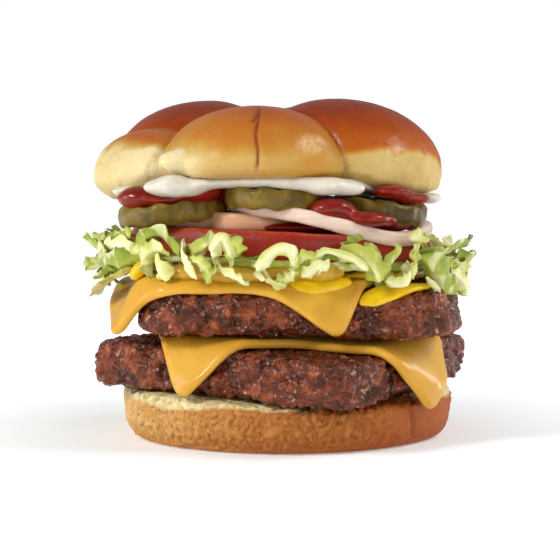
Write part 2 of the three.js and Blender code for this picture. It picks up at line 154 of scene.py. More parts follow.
def lumps(points, size, seed):
    """Rounded swellings about `size` across with narrow valleys between them, from 0 to 1."""
    return np.abs(noise(points, size, seed))


def drift(points, size, seed, reach):
    """The points, each moved by a smooth noise of its own along x, y and z."""
    moves = [noise(points, size, seed + 11 * k) for k in range(3)]
    return points + reach * np.stack(moves, axis=-1)


def cells(points, size, seed):
    """Distances to the nearest and second nearest scattered centre, and the nearest's number."""
    q = points / size
    base = np.floor(q).astype(np.int64)
    first = np.full(q.shape[:-1], 9.0)
    second = first.copy()
    own = np.zeros_like(first)
    for step in np.ndindex(3, 3, 3):
        cell = base + np.array(step) - 1
        centre = cell + np.stack([lattice(cell, seed + k) for k in range(3)], axis=-1)
        away = np.linalg.norm(q - centre, axis=-1)
        closer = away < first
        second = np.where(closer, first, np.minimum(second, away))
        own = np.where(closer, lattice(cell, seed + 3), own)
        first = np.minimum(first, away)
    return first, second, own


def sinking(x, y):
    """The front right of the heel is squashed, so the layers on it sink there."""
    out = smoothstep(SAG["from"], SAG["to"], np.hypot(x, y))
    return SAG["depth"] * out * bump_at(np.arctan2(y, x), SAG["bearing"], SAG["width"])


# ---------------------------------------------------------------- meshes
def add_piece(name, points, faces, material, nodes, paints=None):
    """A mesh piece from points in the stack's plan and lists of equal-sided faces."""
    mesh = bpy.data.meshes.new(name)
    placed = np.asarray(points, float).reshape(-1, 3) + [AXIS[0], AXIS[1], 0]
    mesh.vertices.add(len(placed))
    mesh.vertices.foreach_set("co", (placed * MM).ravel())
    corners = np.concatenate([f.ravel() for f in faces])
    sides = np.concatenate([np.full(len(f), f.shape[1]) for f in faces])
    mesh.loops.add(len(corners))
    mesh.loops.foreach_set("vertex_index", corners.astype(np.int32))
    mesh.polygons.add(len(sides))
    starts = np.concatenate([[0], np.cumsum(sides)[:-1]])
    mesh.polygons.foreach_set("loop_start", starts.astype(np.int32))
    mesh.polygons.foreach_set("use_smooth", np.ones(len(sides), bool))
    mesh.update(calc_edges=True)
    for label, values in (paints or {}).items():
        paint = mesh.attributes.new(label, "FLOAT", "POINT")
        paint.data.foreach_set("value", np.asarray(values, np.float32).ravel())
    mesh.materials.append(material)
    piece = bpy.data.objects.new(name, mesh)
    bpy.context.scene.collection.objects.link(piece)
    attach(piece, "root")
    if nodes:
        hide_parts(*nodes)


def band_faces(rows, columns, closed=True):
    """Quads between rows of points that run round anticlockwise, seen from above."""
    i, j = np.meshgrid(np.arange(rows - 1), np.arange(columns if closed else columns - 1))
    i, j = i.ravel(), j.ravel()
    k = (j + 1) % columns
    quads = [i * columns + j, i * columns + k, (i + 1) * columns + k, (i + 1) * columns + j]
    return np.stack(quads, axis=1)


def closed_faces(rows, columns):
    """The faces of a body made of rings from its bottom to its top, closed by two end points."""
    j = np.arange(columns)
    k = (j + 1) % columns
    below, above = rows * columns, rows * columns + 1
    last = (rows - 1) * columns
    caps = np.concatenate([
        np.stack([np.full(columns, below), k, j], axis=1),
        np.stack([np.full(columns, above), last + j, last + k], axis=1),
    ])
    return [band_faces(rows, columns), caps]


def with_ends(values):
    """The rings' values followed by those of the two end points."""
    flat = values.reshape(-1, *values.shape[2:])
    ends = np.stack([values[0].mean(axis=0), values[-1].mean(axis=0)])
    return np.concatenate([flat, ends])


def add_body(name, rings, material, nodes, paints=None):
    """A closed mesh piece from rings of points that go from its bottom to its top."""
    ended = {label: with_ends(values) for label, values in (paints or {}).items()}
    add_piece(name, with_ends(rings), closed_faces(*rings.shape[:2]), material, nodes, ended)


def outward(rings):
    """Unit normals of a grid of rings, pointing out of the body."""
    round_ = np.roll(rings, -1, axis=1) - np.roll(rings, 1, axis=1)
    up = np.gradient(rings, axis=0)
    normal = np.cross(round_, up)
    length = np.linalg.norm(normal, axis=-1, keepdims=True)
    return normal / np.maximum(length, 1e-9)


def profile_rings(profile, angles, outline=None):
    """Rings from a profile of [radius, height], scaled in plan by outline(angle)."""
    grow = np.ones_like(angles) if outline is None else outline(angles)
    r = profile[:, None, 0] * grow[None, :]
    z = np.repeat(profile[:, None, 1], len(angles), axis=1)
    return np.stack([r * np.cos(angles), r * np.sin(angles), z], axis=-1)


def circle(count):
    """Angles round the circle, evenly spread."""
    return np.linspace(0, 2 * np.pi, count, endpoint=False)


def fine_profile(corners, spacing):
    """A profile through the corners with points `spacing` apart, its corners rounded off."""
    corners = np.asarray(corners, float)
    run = np.concatenate([[0], np.cumsum(np.linalg.norm(np.diff(corners, axis=0), axis=1))])
    at = np.linspace(0, run[-1], int(run[-1] / spacing))
    line = np.stack([np.interp(at, run, corners[:, k]) for k in range(2)], axis=1)
    for _ in range(2):
        line[1:-1] = (line[:-2] + 2 * line[1:-1] + line[2:]) / 4
    return line


def puck(radius, thickness, edge, arc, inner, fine_from, fullness=0.8):
    """A flat round layer with a rounded rim: `arc` points round the rim, `inner` on each face.

    Those on the faces stand close together from a share `fine_from` of the flat part outward.
    """
    half, flat = thickness / 2, radius - edge
    turn = np.linspace(-np.pi / 2, np.pi / 2, arc)
    out = flat + edge * np.maximum(np.cos(turn), 0) ** fullness
    rim = np.stack([out, half * np.sin(turn)], axis=1)
    shares = np.concatenate([[0.12, 0.3], np.linspace(fine_from, 1, inner, endpoint=False)])
    low = np.stack([shares * flat, np.full(len(shares), -half)], axis=1)
    high = low[::-1] * [1, -1]
    return np.concatenate([low, rim, high])


# ---------------------------------------------------------------- materials
def srgb(code):
    """A colour written as six hexadecimal digits, as linear red, green, blue and alpha."""
    parts = [int(code[k:k + 2], 16) / 255 for k in (0, 2, 4)]
    return [c / 12.92 if c <= 0.04045 else ((c + 0.055) / 1.055) ** 2.4 for c in parts] + [1.0]


class Look:
    """One procedural material, put together node by node. Sizes are in millimetres."""

    def __init__(self, name, **settings):
        self.material = bpy.data.materials.new(name)
        self.material.use_nodes = True
        self.tree = self.material.node_tree
        self.shader = self.tree.nodes["Principled BSDF"]
        self.place = self.node("ShaderNodeTexCoord").outputs["Object"]
        self.relief = None
        self.fill(self.shader, settings)

    def node(self, kind, **inputs):
        return self.fill(self.tree.nodes.new(kind), inputs)

    def fill(self, node, inputs):
        """Feeds a node's sockets, named with underscores for spaces."""
        for name, value in inputs.items():
            self.feed(node.inputs[name.replace("_", " ")], value)
        return node

    def feed(self, socket, value):
        """Links another node's output to a socket, or sets the socket to a plain value."""
        if isinstance(value, bpy.types.NodeSocket):
            self.tree.links.new(value, socket)
        else:
            socket.default_value = value

    def stretched(self, stretch):
        """The place, squeezed so that a pattern comes out longer along an axis."""
        mapping = self.node("ShaderNodeMapping", Vector=self.place)
        mapping.inputs["Scale"].default_value = [1 / s for s in stretch]
        return mapping.outputs["Vector"]

    def noise(self, size, detail=3.0, roughness=0.5, distortion=0.0, stretch=(1, 1, 1)):
        made = self.node("ShaderNodeTexNoise", Vector=self.stretched(stretch), Scale=1 / (size * MM),
                         Detail=detail, Roughness=roughness, Distortion=distortion)
        return made.outputs["Fac"]

    def spots(self, size, soft=0.0, stretch=(1, 1, 1)):
        """Distance from scattered centres; `soft` rounds off the borders between them."""
        made = self.node("ShaderNodeTexVoronoi", Vector=self.stretched(stretch), Scale=1 / (size * MM))
        if soft:
            made.feature = "SMOOTH_F1"
            made.inputs["Smoothness"].default_value = soft
        return made.outputs["Distance"]

    def paint(self, label):
        """The values that a piece's mesh carries under a label."""
        made = self.node("ShaderNodeAttribute")
        made.attribute_name = label
        return made.outputs["Fac"]

    def reckon(self, operation, a, b):
        made = self.node("ShaderNodeMath")
        made.operation = operation
        self.feed(made.inputs[0], a)
        self.feed(made.inputs[1], b)
        return made.outputs["Value"]

    def times(self, a, b):
        return self.reckon("MULTIPLY", a, b)

    def plus(self, a, b, share):
        """The first value and a share of the second."""
        return self.reckon("ADD", a, self.times(b, share))

    def ramp(self, source, *stops):
        """Colours at given values of the source; six-digit codes, or greys as numbers."""
        made = self.node("ShaderNodeValToRGB", Fac=source)
        elements = made.color_ramp.elements
        while len(elements) < len(stops):
            elements.new(0.5)
        for element, (at, colour) in zip(elements, stops):
            element.position = at
            element.color = srgb(colour) if isinstance(colour, str) else [colour] * 3 + [1]
        return made.outputs["Color"]

    def blend(self, share, first, second):
        """A share of the second colour, from 0 to 1, laid over the first."""
        made = self.tree.nodes.new("ShaderNodeMix")
        made.data_type = "RGBA"
        under, over = made.inputs[6], made.inputs[7]  # the colour sockets among same-named ones
        for socket, value in ((made.inputs["Factor"], share), (under, first), (over, second)):
            self.feed(socket, srgb(value) if isinstance(value, str) else value)
        return made.outputs[2]

    def bump(self, height, depth):
        """Adds relief `depth` millimetres deep where height goes from 0 to 1."""
        made = self.node("ShaderNodeBump", Height=height, Distance=depth * MM, Strength=1.0)
        if self.relief is not None:
            self.feed(made.inputs["Normal"], self.relief)
        self.relief = made.outputs["Normal"]
        self.feed(self.shader.inputs["Normal"], self.relief)
        self.feed(self.shader.inputs["Coat Normal"], self.relief)

    def soft_inside(self, weight, radius, tint=(1.0, 0.5, 0.25)):
        """Light that sinks in and comes out again nearby, as in cheese or a tomato."""
        self.fill(self.shader, {"Subsurface Weight": weight, "Subsurface Radius": tint,
                                "Subsurface Scale": radius * MM})

    def done(self, colour, roughness=None):
        self.feed(self.shader.inputs["Base Color"], colour)
        if roughness is not None:
            self.feed(self.shader.inputs["Roughness"], roughness)
        return self.material


def crust_material():
    look = Look("baked_crust", Specular_IOR_Level=0.08, Coat_Weight=0.12, Coat_Roughness=0.12)
    look.soft_inside(0.10, 2.0)
    bake = look.plus(look.paint("bake"), look.noise(9, 4), 0.10)
    bake = look.plus(bake, look.noise(2.2, 3), 0.07)
    bake = look.reckon("SUBTRACT", bake, 0.085)  # takes off what the two noises add on average
    colour = look.ramp(
        bake, (0.0, "EBDBAA"), (0.20, "C5A768"), (0.38, "BA8A3A"), (0.56, "B0641F"),
        (0.78, "9C4212"), (1.0, "7C2A0A"),
    )
    colour = look.blend(look.paint("crease"), colour, "8E3C14")
    # The wrinkled patches are painted lighter: a painted sheen.
    colour = look.blend(look.paint("glaze"), colour, "E6C892")
    look.bump(look.noise(0.9, 3), 0.07)
    look.bump(look.noise(3.0, 4), 0.22)
    soft = look.ramp(bake, (0.1, 1.0), (0.5, 0.0))
    look.bump(look.times(look.noise(1.7, 3, 0.6, 0.8, (1, 1, 0.6)), soft), 0.32)
    rough = look.ramp(bake, (0.1, 0.6), (0.6, 0.42), (1.0, 0.36))
    return look.done(colour, rough)


def heel_material():
    look = Look("heel_crust", Roughness=0.6, Specular_IOR_Level=0.25)
    look.soft_inside(0.08, 1.5)
    # Toasting with painted light: paler on the left where light falls, browner on the right, and painted
    # lighter on raised wrinkles as highlights.
    crust = look.ramp(
        look.plus(look.paint("toast"), look.noise(6, 4), 0.2),
        (0.05, "ECC886"), (0.32, "CC9249"), (0.56, "B46C2D"), (1.0, "A64F1E"),
    )
    # Pits are painted darker: painted shade in them.
    crust = look.blend(look.paint("pit"), crust, "80431A")
    # Dark specks on the puckered crust: painted shade of fine pits.
    specks = look.ramp(look.spots(1.5, stretch=(1, 1, 1.3)), (0.14, 0.6), (0.34, 0.0))
    crust = look.blend(look.times(specks, look.paint("puckered")), crust, "8A4A1E")
    crumb = look.ramp(look.noise(1.5, 4, 0.6), (0.3, "C9AE68"), (0.5, "EADCA4"), (0.8, "F6EFD2"))
    toasted = look.ramp(look.noise(4, 4, 0.6), (0.48, 0.0), (0.66, 0.75))
    crumb = look.blend(toasted, crumb, "B08C44")
    colour = look.blend(look.paint("crumb"), crust, crumb)
    colour = look.blend(look.paint("crease"), colour, "9E5222")
    look.bump(look.noise(0.9, 4, 0.65), 0.42)
    look.bump(look.spots(1.1, stretch=(1, 1, 1.6)), 0.28)
    return look.done(colour)


def beef_material():
    look = Look("griddled_beef", Specular_IOR_Level=0.35, Coat_Weight=0.2,
                Coat_Roughness=0.1, Specular_Tint=(1.0, 0.72, 0.55, 1.0))
    look.soft_inside(0.04, 1.0, (1.0, 0.35, 0.2))
    # Hollows are painted darker: painted shade between the lumps.
    shade = look.plus(look.noise(3.4, 4, 0.6), look.paint("hollow"), -0.4)
    colour = look.ramp(
        shade, (0.08, "2E0F05"), (0.28, "491A0B"), (0.46, "6A2A14"), (0.60, "8E4322"), (0.82, "BC6E40"),
    )
    char = look.ramp(look.noise(10, 3), (0.47, 0.0), (0.66, 0.45))
    colour = look.blend(char, colour, "451A0E")
    colour = look.blend(look.times(look.paint("top"), 0.5), colour, "4A1810")
    # Small light flecks: painted glints, a painted highlight standing in for wet shine.
    fat = look.times(look.ramp(look.noise(1.3, 2), (0.59, 0.0), (0.72, 0.66)),
                     look.ramp(look.noise(6, 2), (0.42, 0.1), (0.58, 1.0)))
    colour = look.blend(fat, colour, "DAB098")
    look.bump(look.noise(2.0, 3, 0.5), 0.95)
    look.bump(look.spots(1.3, soft=0.35), 0.5)
    rough = look.ramp(look.noise(2.0, 3), (0.38, 0.22), (0.62, 0.5))
    return look.done(colour, rough)


def cheese_material():
    look = Look("melted_cheese", Roughness=0.5, Specular_IOR_Level=0.2, Coat_Weight=0.4,
                Coat_Roughness=0.12)
    look.soft_inside(0.30, 2.4, (1.0, 0.55, 0.15))
    colour = look.ramp(look.noise(14, 3), (0.3, "CE9426"), (0.7, "DFAB38"))
    look.bump(look.noise(5.0, 2), 0.12)
    look.bump(look.noise(0.8, 2), 0.03)
    return look.done(colour)


def sauce_material(name, dark, light, roughness, inside=0.2, tint=(1.0, 0.5, 0.25)):
    look = Look(name, Roughness=roughness, Specular_IOR_Level=0.2, Coat_Weight=0.3, Coat_Roughness=0.07)
    look.soft_inside(inside, 1.6, tint)
    colour = look.ramp(look.noise(4.5, 4), (0.3, dark), (0.7, light))
    look.bump(look.noise(3.2, 3), 0.2)
    look.bump(look.noise(0.7, 2), 0.03)
    return look.done(colour)


def lettuce_material():
    look = Look("lettuce_leaf", Roughness=0.42, Specular_IOR_Level=0.3)
    look.soft_inside(0.18, 0.8, (0.8, 1.0, 0.3))
    green = look.plus(look.paint("green"), look.noise(3.5, 3), 0.2)
    colour = look.ramp(
        green, (0.06, "E9E5B4"), (0.26, "D2D080"), (0.50, "B0B44A"), (0.78, "899830"), (1.0, "627A26"),
    )
    ribs = look.ramp(look.noise(5, 2, stretch=(1, 1, 3)), (0.55, 0.0), (0.62, 0.7))
    colour = look.blend(ribs, colour, "E2E2AC")
    look.bump(look.noise(1.6, 3), 0.34)
    return look.done(colour)


def tomato_material():
    look = Look("tomato_slice", Roughness=0.4, Specular_IOR_Level=0.25, Coat_Weight=0.08,
                Coat_Roughness=0.1)
    look.soft_inside(0.2, 2.2, (1.0, 0.2, 0.1))
    skin = look.ramp(look.noise(7, 3), (0.3, "82190C"), (0.7, "992713"))
    flesh = look.ramp(look.noise(2.5, 4), (0.3, "9C2C18"), (0.7, "B84E2C"))
    colour = look.blend(look.paint("flesh"), skin, flesh)
    # The left end is painted paler: painted light shining through the skin.
    colour = look.blend(look.paint("pale"), colour, "D9704A")
    look.bump(look.noise(2.2, 3), 0.15)
    look.bump(look.spots(0.9), 0.05)
    return look.done(colour)


def onion_material(name, outer, inner):
    look = Look(name, Roughness=0.35, Specular_IOR_Level=0.3, Coat_Weight=0.3, Coat_Roughness=0.12)
    look.soft_inside(0.35, 2.4, (1.0, 0.75, 0.55))
    lines = look.noise(1.1, 3, stretch=(9, 9, 1))
    colour = look.ramp(lines, (0.2, outer), (0.8, inner))
    look.bump(lines, 0.03)
    return look.done(colour)


def pickle_material():
    look = Look("pickle_slice", Roughness=0.4, Specular_IOR_Level=0.2, Coat_Weight=0.15, Coat_Roughness=0.1)
    look.soft_inside(0.2, 1.8, (0.9, 1.0, 0.3))
    flesh = look.ramp(look.noise(2.6, 4), (0.3, "7C6626"), (0.7, "A18A40"))
    rind = look.ramp(look.noise(6.0, 3, 0.5), (0.3, "5C4A12"), (0.5, "7C641E"), (0.75, "9A7E30"))
    rind = look.blend(look.times(look.paint("shade"), 0.8), rind, "33290C")
    colour = look.blend(look.paint("rind"), flesh, rind)
    look.bump(look.noise(1.6, 3), 0.2)
    return look.done(colour)


# ---------------------------------------------------------------- the bun
def make_heel():
    """The cut-off bottom: a rounded foot, pitted crust and a toasted, spongy cut edge."""
    radius, height, foot = HEEL["radius"], HEEL["height"], HEEL["foot"]
    angles = circle(480)
    turns = np.radians(np.linspace(0, 90, 12))
    curve = np.stack([radius - 0.4 - 0.62 * foot * (1 - np.sin(turns)), foot * (1 - np.cos(turns))], 1)
    corners = [[12, 0], [radius - foot, 0], *curve, [radius, height - 2.2],
               [radius - 0.9, height - 0.3], [radius - 3.5, height + 0.1], [0.6 * radius, height + 0.4]]
    profile = fine_profile(corners, 0.66)
    profile = np.concatenate([profile, [[14, height + 0.5]]])
    rings = profile_rings(profile, angles, lambda a: 1 + 0.011 * ripple(a, 1.3))
    rings[..., :2] += HEEL["centre"]
    x, y, z = rings[..., 0], rings[..., 1], rings[..., 2]
    rings[..., 2] = z - sinking(x, y) * (z / height) ** 2
    normal = outward(rings)
    angle = np.arctan2(y, x)
    up = z / height
    side = smoothstep(0.0, 0.15, up)

    # The crust gives way to open crumb along an uneven line just under the cut edge.
    edge_line = 0.87 + 0.05 * ripple(angle * 2, 0.7) + 0.05 * rough(rings, 5, 21)
    edge_line = edge_line - 0.10 * bump_at(angle, -125, 34)
    crumb = smoothstep(-0.03, 0.05, up - edge_line)
    pits, _, own = cells(rings * [1, 1, 0.7], 1.7, 31)
    where = smoothstep(-0.2, 0.5, rough(rings, 17, 33) + 0.6 * bump_at(angle, -98, 44))
    # Pits in the crust: dented in, and painted darker as shade.
    pit = smoothstep(0.55, 0.2, pits) * (own > 0.35) * where * side * (1 - crumb)
    dented = smoothstep(-0.3, 0.4, rough(rings, 22, 34) + 0.8 * bump_at(angle, -104, 40))
    wrinkle = lumps(drift(rings, 5, 36, 1.2) * [1, 1, 0.8], 1.35, 35) - 0.3
    pores, _, own = cells(rings, 2.3, 37)
    pore = smoothstep(0.55, 0.2, pores) * (own > 0.3) * crumb
    crease = peak(x, 41.5 - 0.05 * z, 0.7) * (y < 0) * smoothstep(0.08, 0.3, up)
    relief = (
        0.5 * rough(rings, 18, 41) * side
        + 2.0 * wrinkle * side * (0.08 + 0.92 * dented) * (1 - crumb)
        - 0.4 * pit
        - 0.85 * pore
        + 0.55 * rough(rings, 3.2, 43) * crumb
        - 0.9 * crease * (1 - crumb)
    )
    rings = rings + normal * relief[..., None]
    rings[..., 2] = np.maximum(rings[..., 2], 0.0)
    # Toasting varies at random. The rise from left to right is painted light from the left, and raised
    # wrinkles are painted lighter as highlights. It is also darker near the foot.
    toast = 0.42 + 0.37 * (x / radius) + 0.14 * rough(rings, 20, 45) - 0.22 * wrinkle * dented
    toast = toast + 0.10 * smoothstep(0.5, 0.1, up)
    paints = {"crumb": crumb, "toast": toast, "pit": 0.4 * pit, "crease": 0.85 * crease,
              "puckered": dented * (1 - crumb)}
    add_body("heel", rings, heel_material(), ["bun_base"], paints)


# Each lobe of the top: bearing in degrees, reach of its middle, half-axes and height, and how it
# baked. Its crust begins at `edge` above the cut, browns over `soft` to `first`, then to `dark`.
# Below that edge it is baked about as far as `sides`. Baking goes from 0 to 1.
LOBES = [
    {"bearing": -99, "reach": 23.5, "out": 32, "along": 30.5, "up": 21.4, "lift": 6.6,
     "edge": 1.5, "soft": 15, "first": 0.52, "dark": 0.80, "sides": 0.28},
    {"bearing": -16, "reach": 23.5, "out": 34.4, "along": 30, "up": 23.7, "lift": 7.6,
     "edge": 10.6, "soft": 4.5, "first": 0.68, "dark": 1.0, "sides": 0.20},
    {"bearing": 46, "reach": 21, "out": 36, "along": 31, "up": 23.4, "lift": 7.6,
     "edge": 10.0, "soft": 5.5, "first": 0.66, "dark": 0.96, "sides": 0.16},
    {"bearing": 138, "reach": 29, "out": 30.5, "along": 34, "up": 25.2, "lift": 8,
     "edge": 11.0, "soft": 5, "first": 0.70, "dark": 1.0, "sides": 0.12},
    {"bearing": 188, "reach": 37, "out": 20.5, "along": 25, "up": 15.4, "lift": 6.5,
     "edge": 12.0, "soft": 6.5, "first": 0.64, "dark": 0.86, "sides": 0.13},
    {"bearing": -123.5, "reach": 47.8, "out": 8.8, "along": 5.2, "up": 4.0, "lift": 9.4,
     "edge": 60, "soft": 9, "first": 0.3, "dark": 0.4, "sides": 0.08},
]


def lobe_distance(direction, lobe):
    """How far the surface of one lobe is from the heart of the top, in each direction."""
    scale = np.array([lobe["out"], lobe["along"], lobe["up"]])
    ahead, across = turned(direction[..., 0], direction[..., 1], -lobe["bearing"])
    d = np.stack([ahead, across, direction[..., 2]], -1) / scale
    middle = np.array([lobe["reach"], 0, lobe["lift"] - TOP["heart"]]) / scale
    dd = (d * d).sum(-1)
    dm = (d * middle).sum(-1)
    root = dm * dm - dd * ((middle * middle).sum() - 1)
    return np.where(root > 0, (dm + np.sqrt(np.maximum(root, 0))) / dd, 0)


def top_floor(x):
    """Height of the cut face above the top's lowest line: it arches up in the middle."""
    return TOP["arch"] * (1 - smoothstep(24, 46, np.abs(x)))


def make_top():
    """The domed top: a twisted roll of lobes between seams, brown above and pale at the sides."""
    down = np.concatenate([
        [180 - 1e-3, 165, 150], np.linspace(140, 104, 10), np.linspace(103, 60, 70),
        np.linspace(59, 8, 52), [4, 1],
    ])
    angles = circle(540)
    polar = np.radians(down)[:, None]
    direction = np.stack(np.broadcast_arrays(
        np.sin(polar) * np.cos(angles), np.sin(polar) * np.sin(angles), np.cos(polar)), -1)
    reach = np.stack([lobe_distance(direction, lobe) for lobe in LOBES])
    abruptness = 1.1  # how abruptly one lobe gives way to the next
    furthest = reach.max(axis=0)
    share = np.exp(abruptness * (reach - furthest))
    far = furthest + np.log(share.sum(axis=0)) / abruptness
    share = share / share.sum(axis=0)
    ordered = np.sort(reach, axis=0)
    between = ordered[-1] - ordered[-2]
    seam = peak(between, 0, 1.2)
    high = smoothstep(4, 14, TOP["heart"] + direction[..., 2] * far)
    far = far - 1.6 * seam * (0.25 + 0.75 * high)

    x, y = direction[..., 0] * far, direction[..., 1] * far
    z = TOP["heart"] + direction[..., 2] * far
    angle = np.arctan2(y, x)
    notch = 2.2 * bump_at(angle, -134, 9) - 1.2 * bump_at(angle, 182, 22)
    floor = top_floor(x) + notch
    drop = np.clip((floor + TOP["rim"] - z) / TOP["rim"], 0, 1)
    shrink = 1 - TOP["tuck"] * drop**2
    cut = z <= floor
    shrink = np.where(cut, shrink * (TOP["heart"] - floor) / np.maximum(TOP["heart"] - z, 1e-3), shrink)
    x, y = x * shrink, y * shrink
    z = np.where(cut, top_floor(x) + notch * smoothstep(20, 50, np.hypot(x, y)), z)
    rings = np.stack([x, y, z], -1)
    normal = outward(rings)

    spread = np.hypot(x, y)
    height = z - floor
    pale = 1 - smoothstep(0, 1, (z - sum(s * lobe["edge"] for s, lobe in zip(share, LOBES))) / 5)
    side = smoothstep(0.3, 2, height) * pale
    wrinkle = lumps(drift(rings, 7, 52, 2.5) * [1, 1, 0.45], 3.4, 51)
    fine = noise(drift(rings, 5, 54, 2) * [1, 1, 0.5], 1.5, 53)
    puffy = rough(rings, 15, 55)
    split = peak(x, -2.8 - 0.4 * np.sin(z * 0.45), 0.5) * (y < -20)
    split = split * smoothstep(1, 4, height) * smoothstep(27, 25.5, z)
    fork = peak(x, 0.5 * (z - 25) - 2.4, 0.6) * (y < -20) * smoothstep(20.5, 22, z)
    split = np.maximum(split, fork * smoothstep(26.5, 25, z))
    tuck_line = peak(x, 30 - 0.45 * (z - 20), 0.8) * (y < 0)
    tuck_line = tuck_line * smoothstep(20, 23, z) * smoothstep(31, 28, z) * 0.5
    sponge, _, own = cells(rings, 2.2, 57)
    crumb = smoothstep(0.6, -0.2, height) * smoothstep(54, 50, spread)
    relief = (
        -0.55 * (0.5 - wrinkle) * side
        + 0.12 * fine * side
        + 0.45 * puffy
        - 1.2 * split
        + 0.9 * peak(height, 2.6, 1.3) * smoothstep(-12, 6, x) * (y < 0) * (1 - 0.6 * seam)
        - 0.5 * tuck_line
        - 0.5 * smoothstep(0.5, 0.2, sponge) * (own > 0.4) * crumb
    )
    rings = rings + normal * relief[..., None]

    edge, soft, first, dark, sides = (
        sum(s * lobe[key] for s, lobe in zip(share, LOBES))
        for key in ("edge", "soft", "first", "dark", "sides")
    )
    level = z + 1.3 * rough(rings, 12, 59) + 0.5 * rough(rings, 3, 60) - 0.8 * seam
    level = level + 4.5 * bump_at(angle, 4, 26) - 4 * bump_at(angle, -126, 16)
    level = level + 1.5 * noise(rings * [1, 1, 0.3], 4, 61)
    crest = smoothstep(0, 1, (level - edge - soft) / np.maximum(31 - edge - soft, 4))
    bake = first * smoothstep(0, 1, (level - edge) / soft) + (dark - first) * crest
    bake = bake + 0.10 * (1 - smoothstep(0, 0.3, bake)) * (0.5 + 0.8 * puffy + 0.6 * fine)
    bake = np.maximum(bake, sides - 0.2 * bump_at(angle, -126, 16) + 0.05 * puffy
                      + 0.12 * bump_at(angle, -70, 13))
    bake = np.clip(bake * (1 - crumb) + 0.08 * crumb, 0, 1)
    crease = np.clip(0.85 * split + 0.4 * tuck_line + 0.35 * seam * smoothstep(12, 20, z), 0, 1)
    base_line = peak(height, 0.2, 0.5) * (spread > 45)
    crease = np.clip(crease + 0.3 * base_line, 0, 1)
    # Two wrinkled patches at the front, where the skin stretched, painted lighter as a painted sheen.
    glaze = sum(
        smoothstep(1.4, 0.3, np.hypot((x - at) / wide, (z - up) / tall) + 0.3 * rough(rings, 3.5, 62))
        for at, up, wide, tall in ((13.5, 14.6, 4.6, 3.0), (39.5, 13.4, 2.8, 1.6))
    ) * (y < -10)
    veins = smoothstep(0.32, 0.02, lumps(drift(rings, 3, 63, 1.5) * [1, 1, 1.3], 2.0, 64))
    rings = rings + normal * (0.30 * glaze * veins)[..., None]
    rings[..., :2] += TOP["centre"]
    rings[..., 2] += TOP["bottom"]
    paints = {"bake": bake, "crease": crease, "glaze": np.clip(glaze, 0, 1) * (0.34 + 0.32 * veins)}
    add_body("top", rings, crust_material(), ["bun_top"], paints)


# ---------------------------------------------------------------- meat and cheese
def make_patty(name, node, place, phase, seed, material):
    """A square patty of coarse ground beef: uneven crusty lumps with hollows between them, painted dark as
    shade.
    """
    angles = circle(620)
    middle = place["bottom"] + PATTY["thickness"] / 2
    profile = puck(PATTY["half"], PATTY["thickness"], PATTY["edge"], 46, 16, 0.62, 0.6)
    n = PATTY["squareness"]
    square = (np.abs(np.cos(angles)) ** n + np.abs(np.sin(angles)) ** n) ** (-1 / n)
    rings = profile_rings(profile, angles, lambda a: square * (1 + 0.012 * ripple(a, phase)))
    x, y = turned(rings[..., 0], rings[..., 1], place["turn"])
    x, y = x + place["centre"][0], y + place["centre"][1]
    rings = np.stack([x, y, middle + rings[..., 2] - place["sag"] * sinking(x, y)], -1)
    normal = outward(rings)
    side = smoothstep(0.0, 0.7, 1 - np.abs(normal[..., 2]))
    bent = drift(rings, 9, seed, 3.5)
    coarse = np.hypot(lumps(bent, 9.5, seed + 1), 0.12)
    middling = np.hypot(lumps(drift(rings, 4, seed + 2, 1.6), 3.8, seed + 3), 0.08)
    small = lumps(drift(rings, 2, seed + 8, 0.6), 1.9, seed + 4)
    holes, _, own = cells(bent, 9, seed + 5)
    hole = smoothstep(0.42, 0.12, holes) * (own > 0.45)
    relief = (
        2.1 * (coarse - 0.32) * (0.35 + 0.65 * side)
        + 1.5 * (middling - 0.31) * (0.55 + 0.45 * side)
        + 1.25 * (small - 0.28)
        - 1.8 * hole * side
        + (0.7 + 1.7 * rough(rings, 20, seed + 6, 2)) * side
        + 0.35 * rough(rings, 1.2, seed + 7, 2)
    )
    rings = rings + normal * relief[..., None]
    # Painted shade: darker in the holes and in the valleys between lumps.
    hollow = 0.8 * hole + 0.5 * smoothstep(0.22, 0.12, coarse) + 0.3 * smoothstep(0.16, 0.08, middling)
    hollow = hollow + 0.2 * smoothstep(0.12, 0.0, small)
    paints = {"hollow": np.clip(hollow, 0, 1), "top": smoothstep(0.6, 0.95, normal[..., 2])}
    add_body(name, rings, material, [node], paints)


def away_from_patty(x, y, place):
    """Distance from a patty's edge, seen from above, and the direction away from it."""
    px, py = turned(x - place["centre"][0], y - place["centre"][1], -place["turn"])
    corner = PATTY["corner"]
    qx = np.abs(px) - (PATTY["half"] - corner)
    qy = np.abs(py) - (PATTY["half"] - corner)
    outside = np.hypot(np.maximum(qx, 0), np.maximum(qy, 0))
    distance = outside + np.minimum(np.maximum(qx, qy), 0) - corner
    both = (qx > 0) & (qy > 0)
    reach = np.maximum(outside, 1e-6)
    nx = np.where(both, qx / reach, (qx > qy) * 1.0) * np.sign(px)
    ny = np.where(both, qy / reach, (qx <= qy) * 1.0) * np.sign(py)
    return distance, *turned(nx, ny, place["turn"])


